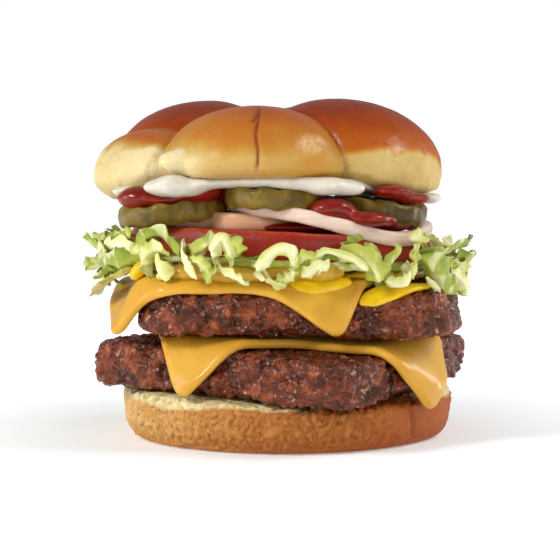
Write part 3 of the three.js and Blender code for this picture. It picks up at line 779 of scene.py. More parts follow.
def draped(x, y, w, place, lying, stiff=0):
    """Where a point of a slice ends up: on the patty, round its edge, or hanging beyond it.

    The point is w above the middle of the slice, and the slice hangs `stiff` degrees less on the left.
    """
    bend = SLICE["bend"]
    distance, nx, ny = away_from_patty(x, y, place)
    bearing = np.arctan2(y - place["centre"][1], x - place["centre"][0])
    hang = rad(SLICE["hang"] - stiff * bump_at(bearing, 174, 36))
    over = np.maximum(distance + SLICE["inset"], 0) * SLICE["stretch"]
    lean = np.minimum(over / bend, hang)
    straight = np.maximum(over - bend * hang, 0)
    out = bend * np.sin(lean) + straight * np.cos(lean) + w * np.sin(lean)
    down = bend * (1 - np.cos(lean)) + straight * np.sin(lean) - w * np.cos(lean)
    back = out - over / SLICE["stretch"]
    fx, fy = x + nx * back, y + ny * back
    return np.stack([fx, fy, lying - down - place["sag"] * sinking(fx, fy)], -1)


def pushed_by_heel(points):
    """How far what hangs beside the heel is pushed out, to lie against the heel's outside."""
    ease = 1.4  # how far the slice's inner face stays off the heel
    across = points[..., :2] - np.array(HEEL["centre"])
    away = np.linalg.norm(across, axis=-1)
    low = 1 - smoothstep(HEEL["height"] + 1, HEEL["height"] + 14, points[..., 2])
    push = low * np.maximum(HEEL["radius"] + SLICE["thickness"] / 2 + ease - away, 0)
    return across * (push / away)[..., None]


def slice_in_plan(slice_, u, v):
    """Where a point of a slice lies in plan, for shares of 0 to 1 along its sides.

    Its front edge is drawn in or swells out at two places: (how far in, share of the edge).
    """
    a, b, c, d = (np.array(corner, float) for corner in slice_["corners"])
    s, t = u[..., None], v[..., None]
    place = (1 - t) * ((1 - s) * a + s * b) + t * ((1 - s) * d + s * c)
    dip = sum(far * peak(u, at, 0.2) for far, at in (slice_["waist"], slice_["swell"]))
    return place[..., 0], place[..., 1] + dip * (1 - v) ** 3


def slice_bottom(place):
    """Height of the underside of the slice that lies on a patty."""
    return place["bottom"] + PATTY["thickness"] + CLEARANCE


def make_slice(name, node, slice_, place, seed, material):
    """A square slice, melted over the patty under it, with soft edges and rounded corners."""
    count = 100
    half, corner, soft = slice_["size"] / 2, 4.0, 1.7
    s = np.linspace(-1, 1, count)
    line = half * np.sign(s) * (1 - (1 - np.abs(s)) ** 1.45)
    u, v = np.meshgrid(line, line, indexing="ij")
    border = np.minimum(half - np.abs(u), half - np.abs(v))
    qu, qv = np.abs(u) - (half - corner), np.abs(v) - (half - corner)
    inside = (qu > 0) & (qv > 0)
    pull = np.where(inside, np.maximum(qu, qv) / np.maximum(np.hypot(qu, qv), 1e-6), 1)
    u = np.where(inside, np.sign(u) * (half - corner + qu * pull), u)
    v = np.where(inside, np.sign(v) * (half - corner + qv * pull), v)
    flat = np.stack([u, v, np.zeros_like(u)], -1)
    edge_wave = 0.7 * noise(flat, 16, seed) * smoothstep(14, 0, border)
    u, v = u + edge_wave * np.clip(u / 14, -1, 1), v + edge_wave * np.clip(v / 14, -1, 1)
    x, y = slice_in_plan(slice_, u / (2 * half) + 0.5, v / (2 * half) + 0.5)
    lying = slice_bottom(place) + SLICE["thickness"] / 2
    swell = 1 + 0.12 * rough(flat, 12, seed + 3)
    half_thick = SLICE["thickness"] / 2 * swell
    half_thick = half_thick * np.sqrt(np.clip(1 - (1 - np.minimum(border / soft, 1)) ** 2, 0.0004, 1))
    push = pushed_by_heel(draped(x, y, 0, place, lying, slice_["stiff"]))
    sag = 0.35 * rough(flat, 15, seed + 5)
    surfaces = []
    for side in (1, -1):
        surface = draped(x, y, side * half_thick + sag, place, lying, slice_["stiff"])
        surface[..., :2] += push
        surfaces.append(surface.reshape(-1, 3))
    points = np.concatenate(surfaces)
    top = band_faces(count, count, closed=False)
    under = top[:, ::-1] + count * count
    ring = np.concatenate([
        np.arange(count), np.arange(1, count) * count + count - 1,
        (count - 1) * count + np.arange(count - 2, -1, -1), np.arange(count - 2, 0, -1) * count,
    ])
    after = np.roll(ring, -1)
    rim = np.stack([ring, after, after + count * count, ring + count * count], axis=1)
    add_piece(name, points, [top[:, ::-1], under[:, ::-1], rim], material, [node])


# ---------------------------------------------------------------- salad
# How far the tomato falls for each millimetre to the right, and rises for each to the back.
SLOPE = math.tan(rad(TOMATO["tilt"]))
RISE = math.tan(rad(TOMATO["nod"]))


def make_tomato():
    """A thick slice with its skin round the rim, leaning a little to the right and the front."""
    angles = circle(300)
    profile = puck(TOMATO["radius"], TOMATO["thickness"], 2.2, 22, 12, 0.6)
    rings = profile_rings(profile, angles, lambda a: 1 + 0.012 * ripple(a, 4.1))
    normal = outward(rings)
    flesh = smoothstep(0.35, 0.85, np.abs(normal[..., 2]))
    relief = 0.35 * rough(rings, 11, 71) + 0.25 * rough(rings, 3.5, 73) * flesh
    rings = rings + normal * relief[..., None]
    # Painted light: the left end of the rim is paler, as light from the left shines through the skin.
    pale = bump_at(np.arctan2(rings[..., 1], rings[..., 0]), 196, 26)
    pale = 0.75 * pale * smoothstep(0.7, 1, np.hypot(rings[..., 0], rings[..., 1]) / TOMATO["radius"])
    rings[..., 2] += TOMATO["middle"] - SLOPE * rings[..., 0] + RISE * rings[..., 1]
    rings[..., :2] += TOMATO["centre"]
    paints = {"flesh": flesh, "pale": pale}
    add_body("tomato_slice", rings, tomato_material(), ["tomato"], paints)


def ribbon(path, width, twist, fold, ruffle, phase, thickness):
    """A closed strip of leaf along a path: creased along its rib, ruffled at its edges, cut off."""
    rows, across = len(path), 11
    t = np.linspace(0, 1, rows)
    tangent = np.gradient(path, axis=0)
    tangent /= np.linalg.norm(tangent, axis=1, keepdims=True)
    up = np.array([0.12, 0.07, 1.0])
    side = np.cross(tangent, up)
    side /= np.maximum(np.linalg.norm(side, axis=1, keepdims=True), 1e-6)
    face = np.cross(side, tangent)
    turn = (twist[0] + (twist[1] - twist[0]) * t)[:, None]
    wide = np.cos(turn) * side + np.sin(turn) * face
    proud = np.cos(turn) * face - np.sin(turn) * side
    taper = 0.4 + 0.6 * smoothstep(0, 0.22, t) * smoothstep(1, 0.78, t)
    ragged = 1 + 0.08 * np.sin(17 * t + 2 * phase) + 0.05 * np.sin(37 * t + 5 * phase)
    s = np.linspace(-1, 1, across)
    half_width = (width / 2 * taper * ragged)[:, None, None]
    waves = np.sin(2 * np.pi * ruffle[1] * t + phase)[:, None, None]
    lift = fold * (np.abs(s) - 0.4)[None, :, None] * half_width
    lift = lift + ruffle[0] * waves * (np.abs(s) ** 1.5 * np.sign(s + 0.3))[None, :, None]
    middle = path[:, None] + wide[:, None] * (s[None, :, None] * half_width) + proud[:, None] * lift
    thick = thickness / 2 * (1 - 0.6 * np.abs(s) ** 3)[None, :, None] * proud[:, None]
    loop = np.concatenate([middle + thick, (middle - thick)[:, ::-1]], axis=1)
    return loop, np.concatenate([s, s[::-1]])


def smooth_path(stops, count):
    """A smooth curve through stops of (bearing in degrees, reach, height) round the heap."""
    stops = np.asarray(stops, float)
    a = np.radians(stops[:, 0])
    knots = np.stack([stops[:, 1] * np.cos(a) + 0.9, stops[:, 1] * np.sin(a), stops[:, 2]], -1)
    knots = np.concatenate([2 * knots[:1] - knots[1:2], knots, 2 * knots[-1:] - knots[-2:-1]])
    at = np.linspace(0, len(stops) - 1 - 1e-6, count)
    k, t = at.astype(int), (at % 1)[:, None]
    p0, p1, p2, p3 = (knots[k + step] for step in range(4))
    bent = 2 * p0 - 5 * p1 + 4 * p2 - p3
    return 0.5 * (2 * p1 + (p2 - p0) * t + bent * t**2 + (3 * p1 - p0 - 3 * p2 + p3) * t**3)


# Shreds that stand out round the front: how wide, how green, how they twist and fold, and the
# stops of (bearing, reach, height) that they pass through.
SHREDS = [
    (6.5, 0.55, (0.2, 0.5), 0.3, [(-176, 59, 61.4), (-173, 63, 62.6), (-168, 63, 62.4), (-163, 60, 60.5)]),
    (3.2, 0.45, (0.2, 0.5), 0.4, [(-162, 58, 63.4), (-151, 58.5, 65.8), (-142, 57, 65.2)]),
    (6.5, 0.02, (0.5, 0.9), 0.3, [(-159, 60, 60), (-151, 60.5, 62), (-144, 60, 61.6), (-138, 58.5, 60)]),
    (3.6, 0.25, (0.9, 0.4), 0.4, [(-167, 61, 60), (-161, 62, 62), (-155, 62, 60), (-158, 61.5, 57.8),
                                  (-164, 61, 58)]),
    (7.5, 0.70, (0.5, 0.9), 0.4, [(-167, 60, 57), (-156, 61, 56.6), (-147, 60, 57.6), (-139, 58, 58.6)]),
    (7.5, 0.28, (0.6, 1.0), 0.5, [(-143, 58, 56.2), (-152, 60, 53), (-160, 61.5, 49.2),
                                  (-166, 62.5, 46.4)]),
    (4.0, 0.45, (0.4, 0.9), 0.5, [(-150, 60, 55), (-157, 61.5, 54.4), (-163, 62, 52.4)]),
    (6.0, 0.58, (0.3, 0.2), 0.6, [(-138, 58, 59), (-135.5, 59, 63.6), (-130.5, 59.5, 66.8),
                                  (-125.5, 59, 66.2), (-121.5, 59.5, 62), (-120, 60, 59.4)]),
    (5.0, 0.25, (0.9, 0.4), 0.5, [(-132.5, 60, 52.8), (-133.5, 61, 57), (-130.5, 61, 61), (-126.5, 61, 62),
                                  (-123, 60.5, 60.4)]),
    (6.5, 0.16, (0.7, 1.1), 0.3, [(-129, 60.5, 60), (-126, 61.5, 56.4), (-124.4, 61, 52.8)]),
    (3.4, 0.0, (1.2, 0.9), 0.3, [(-120, 59, 64.6), (-119.2, 60.5, 60.6), (-117.6, 61, 56.6),
                                 (-114.4, 61, 52.8)]),
    (5.0, 0.52, (0.4, 0.9), 0.5, [(-117.5, 57.5, 57.6), (-116.5, 59, 61.6), (-112, 60, 63.6),
                                  (-107.5, 59.5, 64.4)]),
    (4.6, 0.35, (0.6, 1.0), 0.4, [(-118, 59.5, 58.6), (-113.5, 60.5, 57), (-110.5, 60, 54.4)]),
    (4.6, 0.10, (1.2, 0.8), 0.5, [(-108.5, 59.5, 56.6), (-109.5, 60.5, 60.4), (-106.5, 60.5, 64),
                                  (-104.5, 60, 60.6), (-105, 60, 56.8)]),
    (4.2, 0.45, (0.5, 1.1), 0.4, [(-106, 59.5, 64.4), (-102.4, 60, 63.4), (-101.6, 60.5, 60.6)]),
    (4.6, 0.08, (0.2, 0.7), 0.4, [(-110, 58.5, 57), (-106, 60, 54.8), (-102, 61, 52.6), (-99, 61, 51.6)]),
    (3.4, 0.52, (0.8, 1.2), 0.4, [(-109, 60, 57.4), (-110.5, 60.5, 54.4), (-112, 60.5, 51.8)]),
    (2.8, 0.75, (0.2, 0.5), 0.3, [(-105, 57, 58.6), (-99, 58.5, 59.2), (-93, 58, 57.6)]),
    (3.2, 0.04, (1.1, 1.5), 0.3, [(-95, 60.5, 52.6), (-96.4, 60.5, 56.2), (-93.6, 60.5, 60.2),
                                  (-89.6, 60.5, 62), (-86.4, 60.5, 60.6), (-86.2, 60, 57.4)]),
    (5.0, 0.38, (1.0, 0.7), 0.5, [(-88, 59.5, 60.6), (-86, 60.5, 57), (-88, 60.5, 54), (-92, 61, 52.6)]),
    (3.6, 0.34, (0.4, 0.9), 0.5, [(-86, 59, 58), (-82.5, 60, 60), (-79, 60, 57.6)]),
    (4.4, 0.05, (0.6, 1.0), 0.4, [(-84.5, 60, 54.4), (-80, 60.5, 56.6), (-76.5, 60.5, 54.6)]),
    (5.0, 0.92, (0.4, 0.2), 0.4, [(-81, 57.5, 57), (-76, 58.5, 58.6), (-70, 58, 57.4)]),
    (3.2, 0.10, (0.3, 0.9), 0.4, [(-82, 59.5, 58.4), (-77, 60.5, 60), (-71, 61, 58), (-66.5, 61.5, 54.6)]),
    (7.0, 0.36, (0.5, 0.9), 0.5, [(-73, 59.5, 60.6), (-68, 60.5, 58.8), (-64.5, 61.5, 55),
                                  (-62.4, 62, 51)]),
    (4.0, 0.60, (0.8, 0.5), 0.4, [(-71, 57.5, 60), (-69, 58, 62.6), (-66.5, 58, 64.2)]),
    (3.6, 0.40, (0.9, 1.2), 0.4, [(-66.5, 59, 62.4), (-64, 60, 60), (-63.4, 60, 56.6)]),
    (5.5, 0.48, (0.8, 1.1), 0.4, [(-64.5, 60, 52.8), (-60.5, 60.5, 56), (-56, 60.5, 60), (-53.4, 60, 62)]),
    (5.0, 0.14, (0.5, 0.9), 0.6, [(-60, 61, 51.6), (-56, 61.5, 50.6), (-52.4, 61.5, 52.6), (-51, 61, 57)]),
    (4.0, 0.30, (1.0, 1.3), 0.4, [(-50, 60.5, 51.6), (-48.4, 61, 56), (-47.4, 60.5, 60.4),
                                  (-46, 60, 64.4)]),
    (8.0, 0.62, (0.5, 0.9), 0.4, [(-47, 60, 58.8), (-42, 61.5, 57), (-38, 62, 53), (-36.6, 62, 48.4),
                                  (-36, 62, 46)]),
    (2.2, 0.0, (0.9, 1.2), 0.2, [(-44, 61.2, 53), (-42, 62.2, 49.6), (-40.4, 62.6, 46.8)]),
    (2.4, 0.02, (0.9, 1.2), 0.2, [(-33.4, 62, 57), (-34, 62.8, 52.4), (-35.4, 62.8, 48)]),
    (5.5, 0.58, (0.4, 0.9), 0.4, [(-48, 59, 59.4), (-35, 60.5, 60.4), (-22, 61.5, 62.2), (-11, 62, 64.4)]),
    (6.0, 0.62, (0.6, 0.9), 0.4, [(-29, 60, 57.6), (-19, 61.5, 57.6), (-11, 61.5, 56.2)]),
    (5.5, 0.06, (0.8, 1.2), 0.4, [(-31, 60.5, 55.4), (-26, 61.5, 51.4), (-23, 61.6, 47.6),
                                  (-22, 61.6, 45.6)]),
    (5.0, 0.50, (0.6, 1.1), 0.4, [(-38, 59.5, 59), (-30, 60.5, 55.6), (-25, 61, 53)]),
]


def make_lettuce():
    """Shredded leaf: curled strips with spaces between them, over a smaller bed."""
    material = lettuce_material()
    bed = [[8, 57.2], [30, 57.2], [46, 57.0], [50, 56.4], [52.8, 56.8], [53.2, 58.8], [50.5, 59.8],
           [30, 58.8], [8, 58.8]]
    rings = profile_rings(fine_profile(bed, 1.5), circle(180))
    rings = rings + outward(rings) * rough(rings, 5, 81)[..., None]
    rings[..., 2] += RISE * rings[..., 1] - SLOPE * (rings[..., 0] - TOMATO["centre"][0])
    paints = {"green": 0.55 + 0.35 * rough(rings, 5, 83)}
    add_body("lettuce_bed", rings, material, [], paints)

    draw = np.random.default_rng(7)
    points, faces, greens = [], [], []

    def add(path, width, green, twist, fold):
        loop, s = ribbon(
            path, width, twist, fold, (draw.uniform(0.06, 0.14) * width, draw.uniform(1.8, 4.5)),
            draw.uniform(0, 6.28), draw.uniform(0.42, 0.68),
        )
        loop = drift(drift(loop, 8, 86, 1.3), 3.4, 87, 0.55)
        start = sum(len(p) for p in points)
        faces.append([f + start for f in closed_faces(*loop.shape[:2])])
        points.append(with_ends(loop))
        tint = green + 0.34 * np.abs(s)[None, :] + 0.2 * rough(loop, 6, 85) - 0.2
        greens.append(with_ends(tint))

    for width, green, twist, fold, stops in SHREDS:
        add(smooth_path(stops, 38), 1.05 * width, green, twist, 1.1 * fold)

    # The rest of the rim is filled in the same way, and a few short bits lie deeper everywhere.
    rim_count, deep_count = 48, 26
    for k in range(rim_count + deep_count):
        deep = k >= rim_count
        bearing = 360 * (k - rim_count) / deep_count if deep else 4 + 172 * k / (rim_count - 1)
        bearing = bearing + draw.uniform(-4, 4)
        lowest, highest = (50, 58) if deep else (47.6, 65.5)
        reach, height = draw.uniform(56, 61), draw.uniform(54, 61)
        if deep:
            reach, height = draw.uniform(50.5, 54.5), draw.uniform(54.5, 57.5)
        reach = reach - 3 * abs(math.cos(rad(bearing)))
        stops = [(bearing, reach, height)]
        heading, pace = draw.uniform(0, 6.28), draw.uniform(3.0, 5.2)
        for _ in range(2 if deep else draw.integers(3, 6)):
            heading += draw.uniform(-1.3, 1.3)
            bearing += math.degrees(pace * math.cos(heading) / reach)
            height = min(max(height + pace * math.sin(heading), lowest), highest)
            stops.append((bearing, min(max(reach + draw.uniform(-2.5, 2.5), 50), 62.5), height))
        twist = draw.uniform(0, 1.6), draw.uniform(0, 1.6)
        add(smooth_path(stops, 22), draw.uniform(3.2, 8.5), draw.uniform(0.0, 0.8), twist,
            draw.uniform(-0.7, 0.7))

    # Strips behind the listed ones fill up the left and the right of the front.
    each = 9
    for k in range(2 * each):
        bearing = -178 + 4.2 * k if k < each else -44 + 4.4 * (k - each)
        start = bearing + draw.uniform(-3, 3), draw.uniform(56.5, 59.5), draw.uniform(54, 62)
        turn, far = draw.uniform(0, 6.28), draw.uniform(3.2, 5)
        stops = [start]
        for _ in range(3):
            turn += draw.uniform(-0.9, 0.9)
            stops.append((stops[-1][0] + far * math.cos(turn), start[1] + draw.uniform(-1, 2),
                          min(max(stops[-1][2] + far * math.sin(turn), 51), 65)))
        add(smooth_path(stops, 26), draw.uniform(4.5, 8), draw.uniform(0.05, 0.75),
            (draw.uniform(0.2, 1), draw.uniform(0.2, 1.2)), draw.uniform(0.3, 0.6))

    quads = np.concatenate([f[0] for f in faces])
    caps = np.concatenate([f[1] for f in faces])
    paints = {"green": np.concatenate(greens)}
    add_piece("lettuce_strips", np.concatenate(points), [quads, caps], material,
              ["lettuce"], paints)


ONION_LEFT = {"centre": (-15, -9.5), "middle": 70.6, "radius": 31, "wall": 4.2, "height": 5.4,
              "lap": 0, "dent": 0.20, "lean": (1.5, 1.5)}
ONION_RIGHT = {"centre": (13.5, -11), "middle": 72.6, "radius": 36.3, "wall": 3.8, "height": 4.6,
               "lap": 4.2, "dent": 0, "lean": (2.5, 7)}


def make_onion(name, node, ring, phase, material):
    """One ring of a slice: a soft-cornered band that may lap down over the tomato's edge."""
    angles = circle(240)
    inner, outer = ring["radius"] - ring["wall"], ring["radius"]
    half, corner = ring["height"] / 2, 0.6
    corners = [[inner, -half], [outer - corner, -half], [outer, corner - half], [outer + 0.3, 0],
               [outer, half - corner], [outer - corner, half], [inner + corner, half],
               [inner, half - corner], [inner, -half]]
    profile = fine_profile(corners, 0.45)[:-1]

    def outline(a):
        oval = 0.02 * np.cos(2 * a + phase)
        return 1 + oval + 0.012 * ripple(a, phase) - ring["dent"] * bump_at(a, -111, 17)

    rings = profile_rings(profile, angles, outline)
    angle = np.arctan2(rings[..., 1], rings[..., 0])
    rings[..., 2] -= ring["lap"] * bump_at(angle, -52, 34)
    rings = rings + outward(rings) * (0.22 * rough(rings, 8, 91))[..., None]
    rings = turned_like_cad(rings, ring["lean"], 0) + [*ring["centre"], ring["middle"]]
    rows, columns = rings.shape[:2]
    faces = band_faces(rows, columns)
    last = np.arange(columns) + (rows - 1) * columns
    after = (np.arange(columns) + 1) % columns
    seam = np.stack([last, (rows - 1) * columns + after, after, np.arange(columns)], axis=1)
    add_piece(name, rings, [np.concatenate([faces, seam])], material, [node])


PICKLE = {"thickness": 6.4, "ridge": 0.4, "pitch": 7.6}
PICKLES = [
    {"node": "pickle_left", "at": (-33.6, -23, 73.2), "radius": 17.8, "lean": (4, -7), "turn": 12,
     "phase": 0.4, "shade": 0.3},
    {"node": "pickle_centre", "at": (-2.2, -33, 77.2), "radius": 15.2, "lean": (3, 2), "turn": -8,
     "phase": 1.9, "shade": 0.2},
    {"node": "pickle_right", "at": (31, -23.5, 73.6), "radius": 15.2, "lean": (4, 7), "turn": 20,
     "phase": 3.1, "shade": 1.25},
    {"node": "pickle_back", "at": (3, 31, 75), "radius": 16.5, "lean": (-5, 1), "turn": 4,
     "phase": 5.2, "shade": 0.5},
]


def make_pickle(pickle, seed, material):
    """A crinkle-cut slice: waves across both faces, so its rim is scalloped, and a darker rind."""
    angles = circle(144)
    radius = pickle["radius"]
    profile = puck(radius, PICKLE["thickness"], 1.5, 18, 15, 0.25)
    rings = profile_rings(profile, angles, lambda a: 1 + 0.02 * ripple(a, pickle["phase"]))
    out = np.hypot(rings[..., 0], rings[..., 1]) / radius
    wave = 2 * np.pi * rings[..., 0] / PICKLE["pitch"]
    rings[..., 2] += PICKLE["ridge"] * np.sin(wave + pickle["phase"])
    scallop = 0.010 * np.cos(wave + pickle["phase"]) + 0.008 * np.cos(2 * wave + pickle["phase"])
    rings[..., :2] *= (1 + scallop * smoothstep(0.8, 1, out))[..., None]
    rings = rings + outward(rings) * (0.2 * rough(rings, 3.5, seed))[..., None]
    rind = smoothstep(0.86, 0.985, out)
    shade = pickle["shade"] * smoothstep(0.2, 1, 0.5 + 0.5 * rough(rings, 12, seed + 40))
    rings = turned_like_cad(rings, pickle["lean"], pickle["turn"]) + pickle["at"]
    paints = {"rind": rind, "shade": shade}
    add_body(pickle["node"] + "_slice", rings, material, [pickle["node"]], paints)


# ---------------------------------------------------------------- sauces
def sauce_rings(centre, radius, edge, low, high, outline):
    """A puck of sauce between two surfaces, low(x, y) and high(x, y)."""
    rings = profile_rings(puck(radius, 2, edge, 18, 12, 0.4), circle(200), outline)
    x, y, t = rings[..., 0] + centre[0], rings[..., 1] + centre[1], (rings[..., 2] + 1) / 2
    floor, roof = low(x, y), high(x, y)
    return np.stack([x, y, floor + t * (roof - floor)], -1)


def make_mustard():
    """Mustard spread on the upper cheese, with drops of it that ran over the edge."""
    slice_top = slice_bottom(UPPER) + SLICE["thickness"]

    def outline(a):
        return 1 + 0.04 * ripple(a, 2.2) + 0.05 * bump_at(a, -42, 20) + 0.03 * bump_at(a, -135, 16)

    def low(x, y):
        return slice_top - 0.3 - UPPER["sag"] * sinking(x, y)

    def high(x, y):
        flat = np.stack([x, y, np.zeros_like(x)], -1)
        return slice_top + 2.2 + 0.6 * rough(flat, 7, 95) - UPPER["sag"] * sinking(x, y)

    rings = sauce_rings((3, -2), 45, 2.4, low, high, outline)
    material = sauce_material("yellow_mustard", "DDAE08", "EFC716", 0.24, 0.15, (1.0, 0.7, 0.1))
    add_body("mustard_spread", rings, material, ["mustard"])
    lying = slice_top + 0.2
    add_dollop("mustard_on_cheese", (12.0, -47.0), (9.5, 4.0), 2.8, UPPER, lying + 0.6, 8, material)
    add_dollop("mustard_on_beef", (36.0, -43.0), (13.5, 4.0), 2.4, UPPER, lying - 2.6, 30, material)
    add_dollop("mustard_bead", (-42.5, -36.5), (4.2, 3.4), 4.4, UPPER, lying + 3.4, -40, material)


# Lumps of sauce that run together, each as its middle and its half-axes.
MUSTARD_RUN = [
    ((-26, -46.0, 54.4), (9, 5, 3.2)), ((-14, -47.5, 54.2), (10, 5, 3.3)), ((-1, -48, 54.2), (9, 5, 3.1)),
    ((12, -48, 54.4), (8, 5, 2.8)),
]


def make_mustard_run():
    """Mustard oozing out between the leaf and the upper cheese, painted darker olive as the shade under the
    leaf.
    """
    parts = [lump_mesh(middle, half_axes) for middle, half_axes in MUSTARD_RUN]
    # Darker olive colours: painted shade under the leaf.
    material = sauce_material("shaded_mustard", "A87E1C", "C9A232", 0.25, 0.15, (1.0, 0.7, 0.1))
    run_together("mustard_run", parts, 0.7, material, None, 103)


def add_dollop(name, centre, half_axes, thickness, place, lying, turn, material):
    """A rounded drop of sauce that lies over a patty's shoulder, bending down with it."""
    drop = profile_rings(puck(1, 1, 0.75, 20, 6, 0.3), circle(90), lambda a: 1 + 0.07 * ripple(a, turn))
    x, y = turned(drop[..., 0] * half_axes[0], drop[..., 1] * half_axes[1], turn)
    rings = draped(centre[0] + x, centre[1] + y, drop[..., 2] * thickness, place, lying)
    add_body(name, rings, material, [])


def lump_mesh(middle, half_axes):
    """One rounded lump: points and faces."""
    turn = np.linspace(-np.pi / 2, np.pi / 2, 17)[1:-1]
    rings = profile_rings(np.stack([np.cos(turn), np.sin(turn)], 1), circle(28))
    return with_ends(rings * half_axes + middle), closed_faces(*rings.shape[:2])


def run_together(name, parts, grain, material, node, seed):
    """One skin over overlapping bodies, rounded where they meet, as thick sauce settles.

    The skin is made of cubes `grain` across and then drawn smooth, pass by pass.
    """
    passes, pull_share, relief = 10, 0.6, 0.35
    soup = bpy.data.meshes.new(name + "_soup")
    points, polygons = [], []
    for part_points, part_faces in parts:
        start = sum(len(p) for p in points)
        points.append(part_points)
        polygons += [tuple(int(k) + start for k in face) for group in part_faces for face in group]
    soup.from_pydata((np.concatenate(points) * MM).tolist(), [], polygons)
    holder = bpy.data.objects.new(name + "_soup", soup)
    bpy.context.scene.collection.objects.link(holder)
    skin = holder.modifiers.new("skin", "REMESH")
    skin.mode = "VOXEL"
    skin.voxel_size = grain * MM
    graph = bpy.context.evaluated_depsgraph_get()
    made = bpy.data.meshes.new_from_object(holder.evaluated_get(graph))
    bpy.data.objects.remove(holder)
    count = len(made.vertices)
    at = np.zeros(count * 3)
    made.vertices.foreach_get("co", at)
    at = at.reshape(-1, 3) / MM
    ends = np.zeros(len(made.edges) * 2, np.int64)
    made.edges.foreach_get("vertices", ends)
    one, two = ends.reshape(-1, 2).T
    near = np.maximum(np.bincount(np.concatenate([one, two]), minlength=count), 1)[:, None]
    for _ in range(passes):
        pull = np.stack([
            np.bincount(one, at[two, k], count) + np.bincount(two, at[one, k], count) for k in range(3)
        ], axis=1)
        at = at + pull_share * (pull / near - at)
    normals = np.zeros(count * 3)
    made.vertices.foreach_get("normal", normals)
    at = at + normals.reshape(-1, 3) * (relief * rough(at, 6, seed))[:, None]
    sides = [tuple(face.vertices) for face in made.polygons]
    quads = np.array([f for f in sides if len(f) == 4])
    bpy.data.meshes.remove(made)
    bpy.data.meshes.remove(soup)
    add_piece(name, at, [quads], material, [node] if node else [])


# Lumps of the two sauces that show round the filling, in the same way.
KETCHUP = [
    ((-1, -1, 74.8), (34, 34, 4.4)),
    ((-43.6, -32, 77.0), (7.4, 7.0, 3.7)), ((-44.4, -33, 79.4), (3.4, 3.6, 1.9)),
    ((-34.5, -34, 76.6), (7.5, 5.6, 2.6)), ((-25.5, -35, 78.4), (7.2, 6.0, 3.2)),
    ((-21, -38, 80.2), (3.6, 4.0, 1.7)), ((-18.4, -28, 79.0), (7.0, 6.0, 3.4)),
    ((33, -30, 69.4), (9.0, 7.0, 3.0)), ((20, -28, 74.0), (12, 8, 4.0)), ((9, -34, 68.0), (22, 7.4, 1.8)),
    ((15.6, -42.5, 73.4), (7.8, 6.4, 3.9)), ((26.5, -42.5, 70.5), (7.2, 5.6, 2.5)),
    ((31.5, -39, 70.2), (5.0, 5.0, 2.2)),
    ((34.5, -34, 79.0), (6.4, 6.0, 2.3)), ((41.5, -31, 76.9), (6.2, 5.8, 2.0)),
    ((43, 4, 74.0), (7, 9, 3.6)), ((31, 33, 75.2), (9, 7, 3.4)), ((-4, 44, 77.0), (10, 6.5, 3.2)),
    ((-33, 31, 75.6), (9, 7, 3.6)), ((-46, 3, 76.4), (6, 9, 3.0)),
]
MAYONNAISE = [
    ((-32, -39.5, 80.2), (10.6, 7.5, 3.3)), ((-32.6, -43, 82.0), (5.0, 4.0, 2.3)),
    ((-31, -42.5, 78.8), (5.4, 4.0, 1.9)), ((-23.5, -41.5, 81.2), (6.6, 5.5, 1.9)),
    ((-47, -26, 79.4), (6.5, 8.0, 1.8)),
    ((-17, -41, 81.6), (6.0, 5.0, 1.8)), ((-6, -43, 81.8), (9.0, 7.0, 2.1)),
    ((5, -43.5, 81.5), (10.5, 7.0, 2.4)),
    ((14, -43.5, 80.6), (8.5, 6.8, 3.0)), ((20.6, -42.5, 79.9), (6.0, 5.8, 2.4)),
    ((47.5, -20, 77.4), (4.4, 6.0, 2.0)),
    ((40, 25, 79.3), (9, 8, 2.6)), ((4, 46.5, 80.8), (12, 6.5, 2.6)), ((-30, 38, 80.0), (10, 8, 3.0)),
    ((-47, 13, 79.3), (6, 8, 2.2)),
]


def make_ketchup():
    """Ketchup squeezed out in rounded blobs between pickles, onion and mayonnaise."""
    parts = [lump_mesh(middle, half_axes) for middle, half_axes in KETCHUP]
    material = sauce_material("ketchup", "6E0F05", "8C1A0A", 0.3, 0.12, (1.0, 0.15, 0.1))
    run_together("ketchup_filling", parts, 0.9, material, "ketchup", 99)


def make_mayonnaise():
    """A layer of mayonnaise under the bun, squeezed out from it in thick tongues."""
    def low(x, y):
        return TOP["bottom"] + top_floor(x - TOP["centre"][0]) - 2.4

    def high(x, y):
        return TOP["bottom"] + top_floor(x - TOP["centre"][0]) + 0.5

    layer = sauce_rings((-3, 0), 45, 2, low, high, lambda a: 1 + 0.02 * ripple(a, 4.4))
    parts = [(with_ends(layer), closed_faces(*layer.shape[:2]))]
    parts += [lump_mesh(middle, half_axes) for middle, half_axes in MAYONNAISE]
    material = sauce_material("mayonnaise", "CDC5B4", "DDD6C8", 0.34, 0.25, (1.0, 0.9, 0.75))
    run_together("mayonnaise_layer", parts, 0.95, material, "mayonnaise", 101)


# ---------------------------------------------------------------- the burger
make_heel()
beef = beef_material()
make_patty("patty_lower_beef", "patty_lower", LOWER, 0.7, 201, beef)
make_patty("patty_upper_beef", "patty_upper", UPPER, 2.9, 301, beef)
cheese = cheese_material()
make_slice("cheese_lower_slice", "cheese_lower", SLICE_LOWER, LOWER, 401, cheese)
make_slice("cheese_upper_slice", "cheese_upper", SLICE_UPPER, UPPER, 501, cheese)
make_mustard()
make_mustard_run()
make_lettuce()
make_tomato()
pink = onion_material("onion_pink", "D29A72", "E2B892")
white = onion_material("onion_white", "DCB8A2", "F0DED0")
make_onion("onion_left_ring", "onion_left", ONION_LEFT, 0.5, pink)
make_onion("onion_right_ring", "onion_right", ONION_RIGHT, 2.4, white)
pickle_skin = pickle_material()
for number, pickle in enumerate(PICKLES):
    make_pickle(pickle, 601 + number, pickle_skin)
make_ketchup()
make_mayonnaise()
make_top()


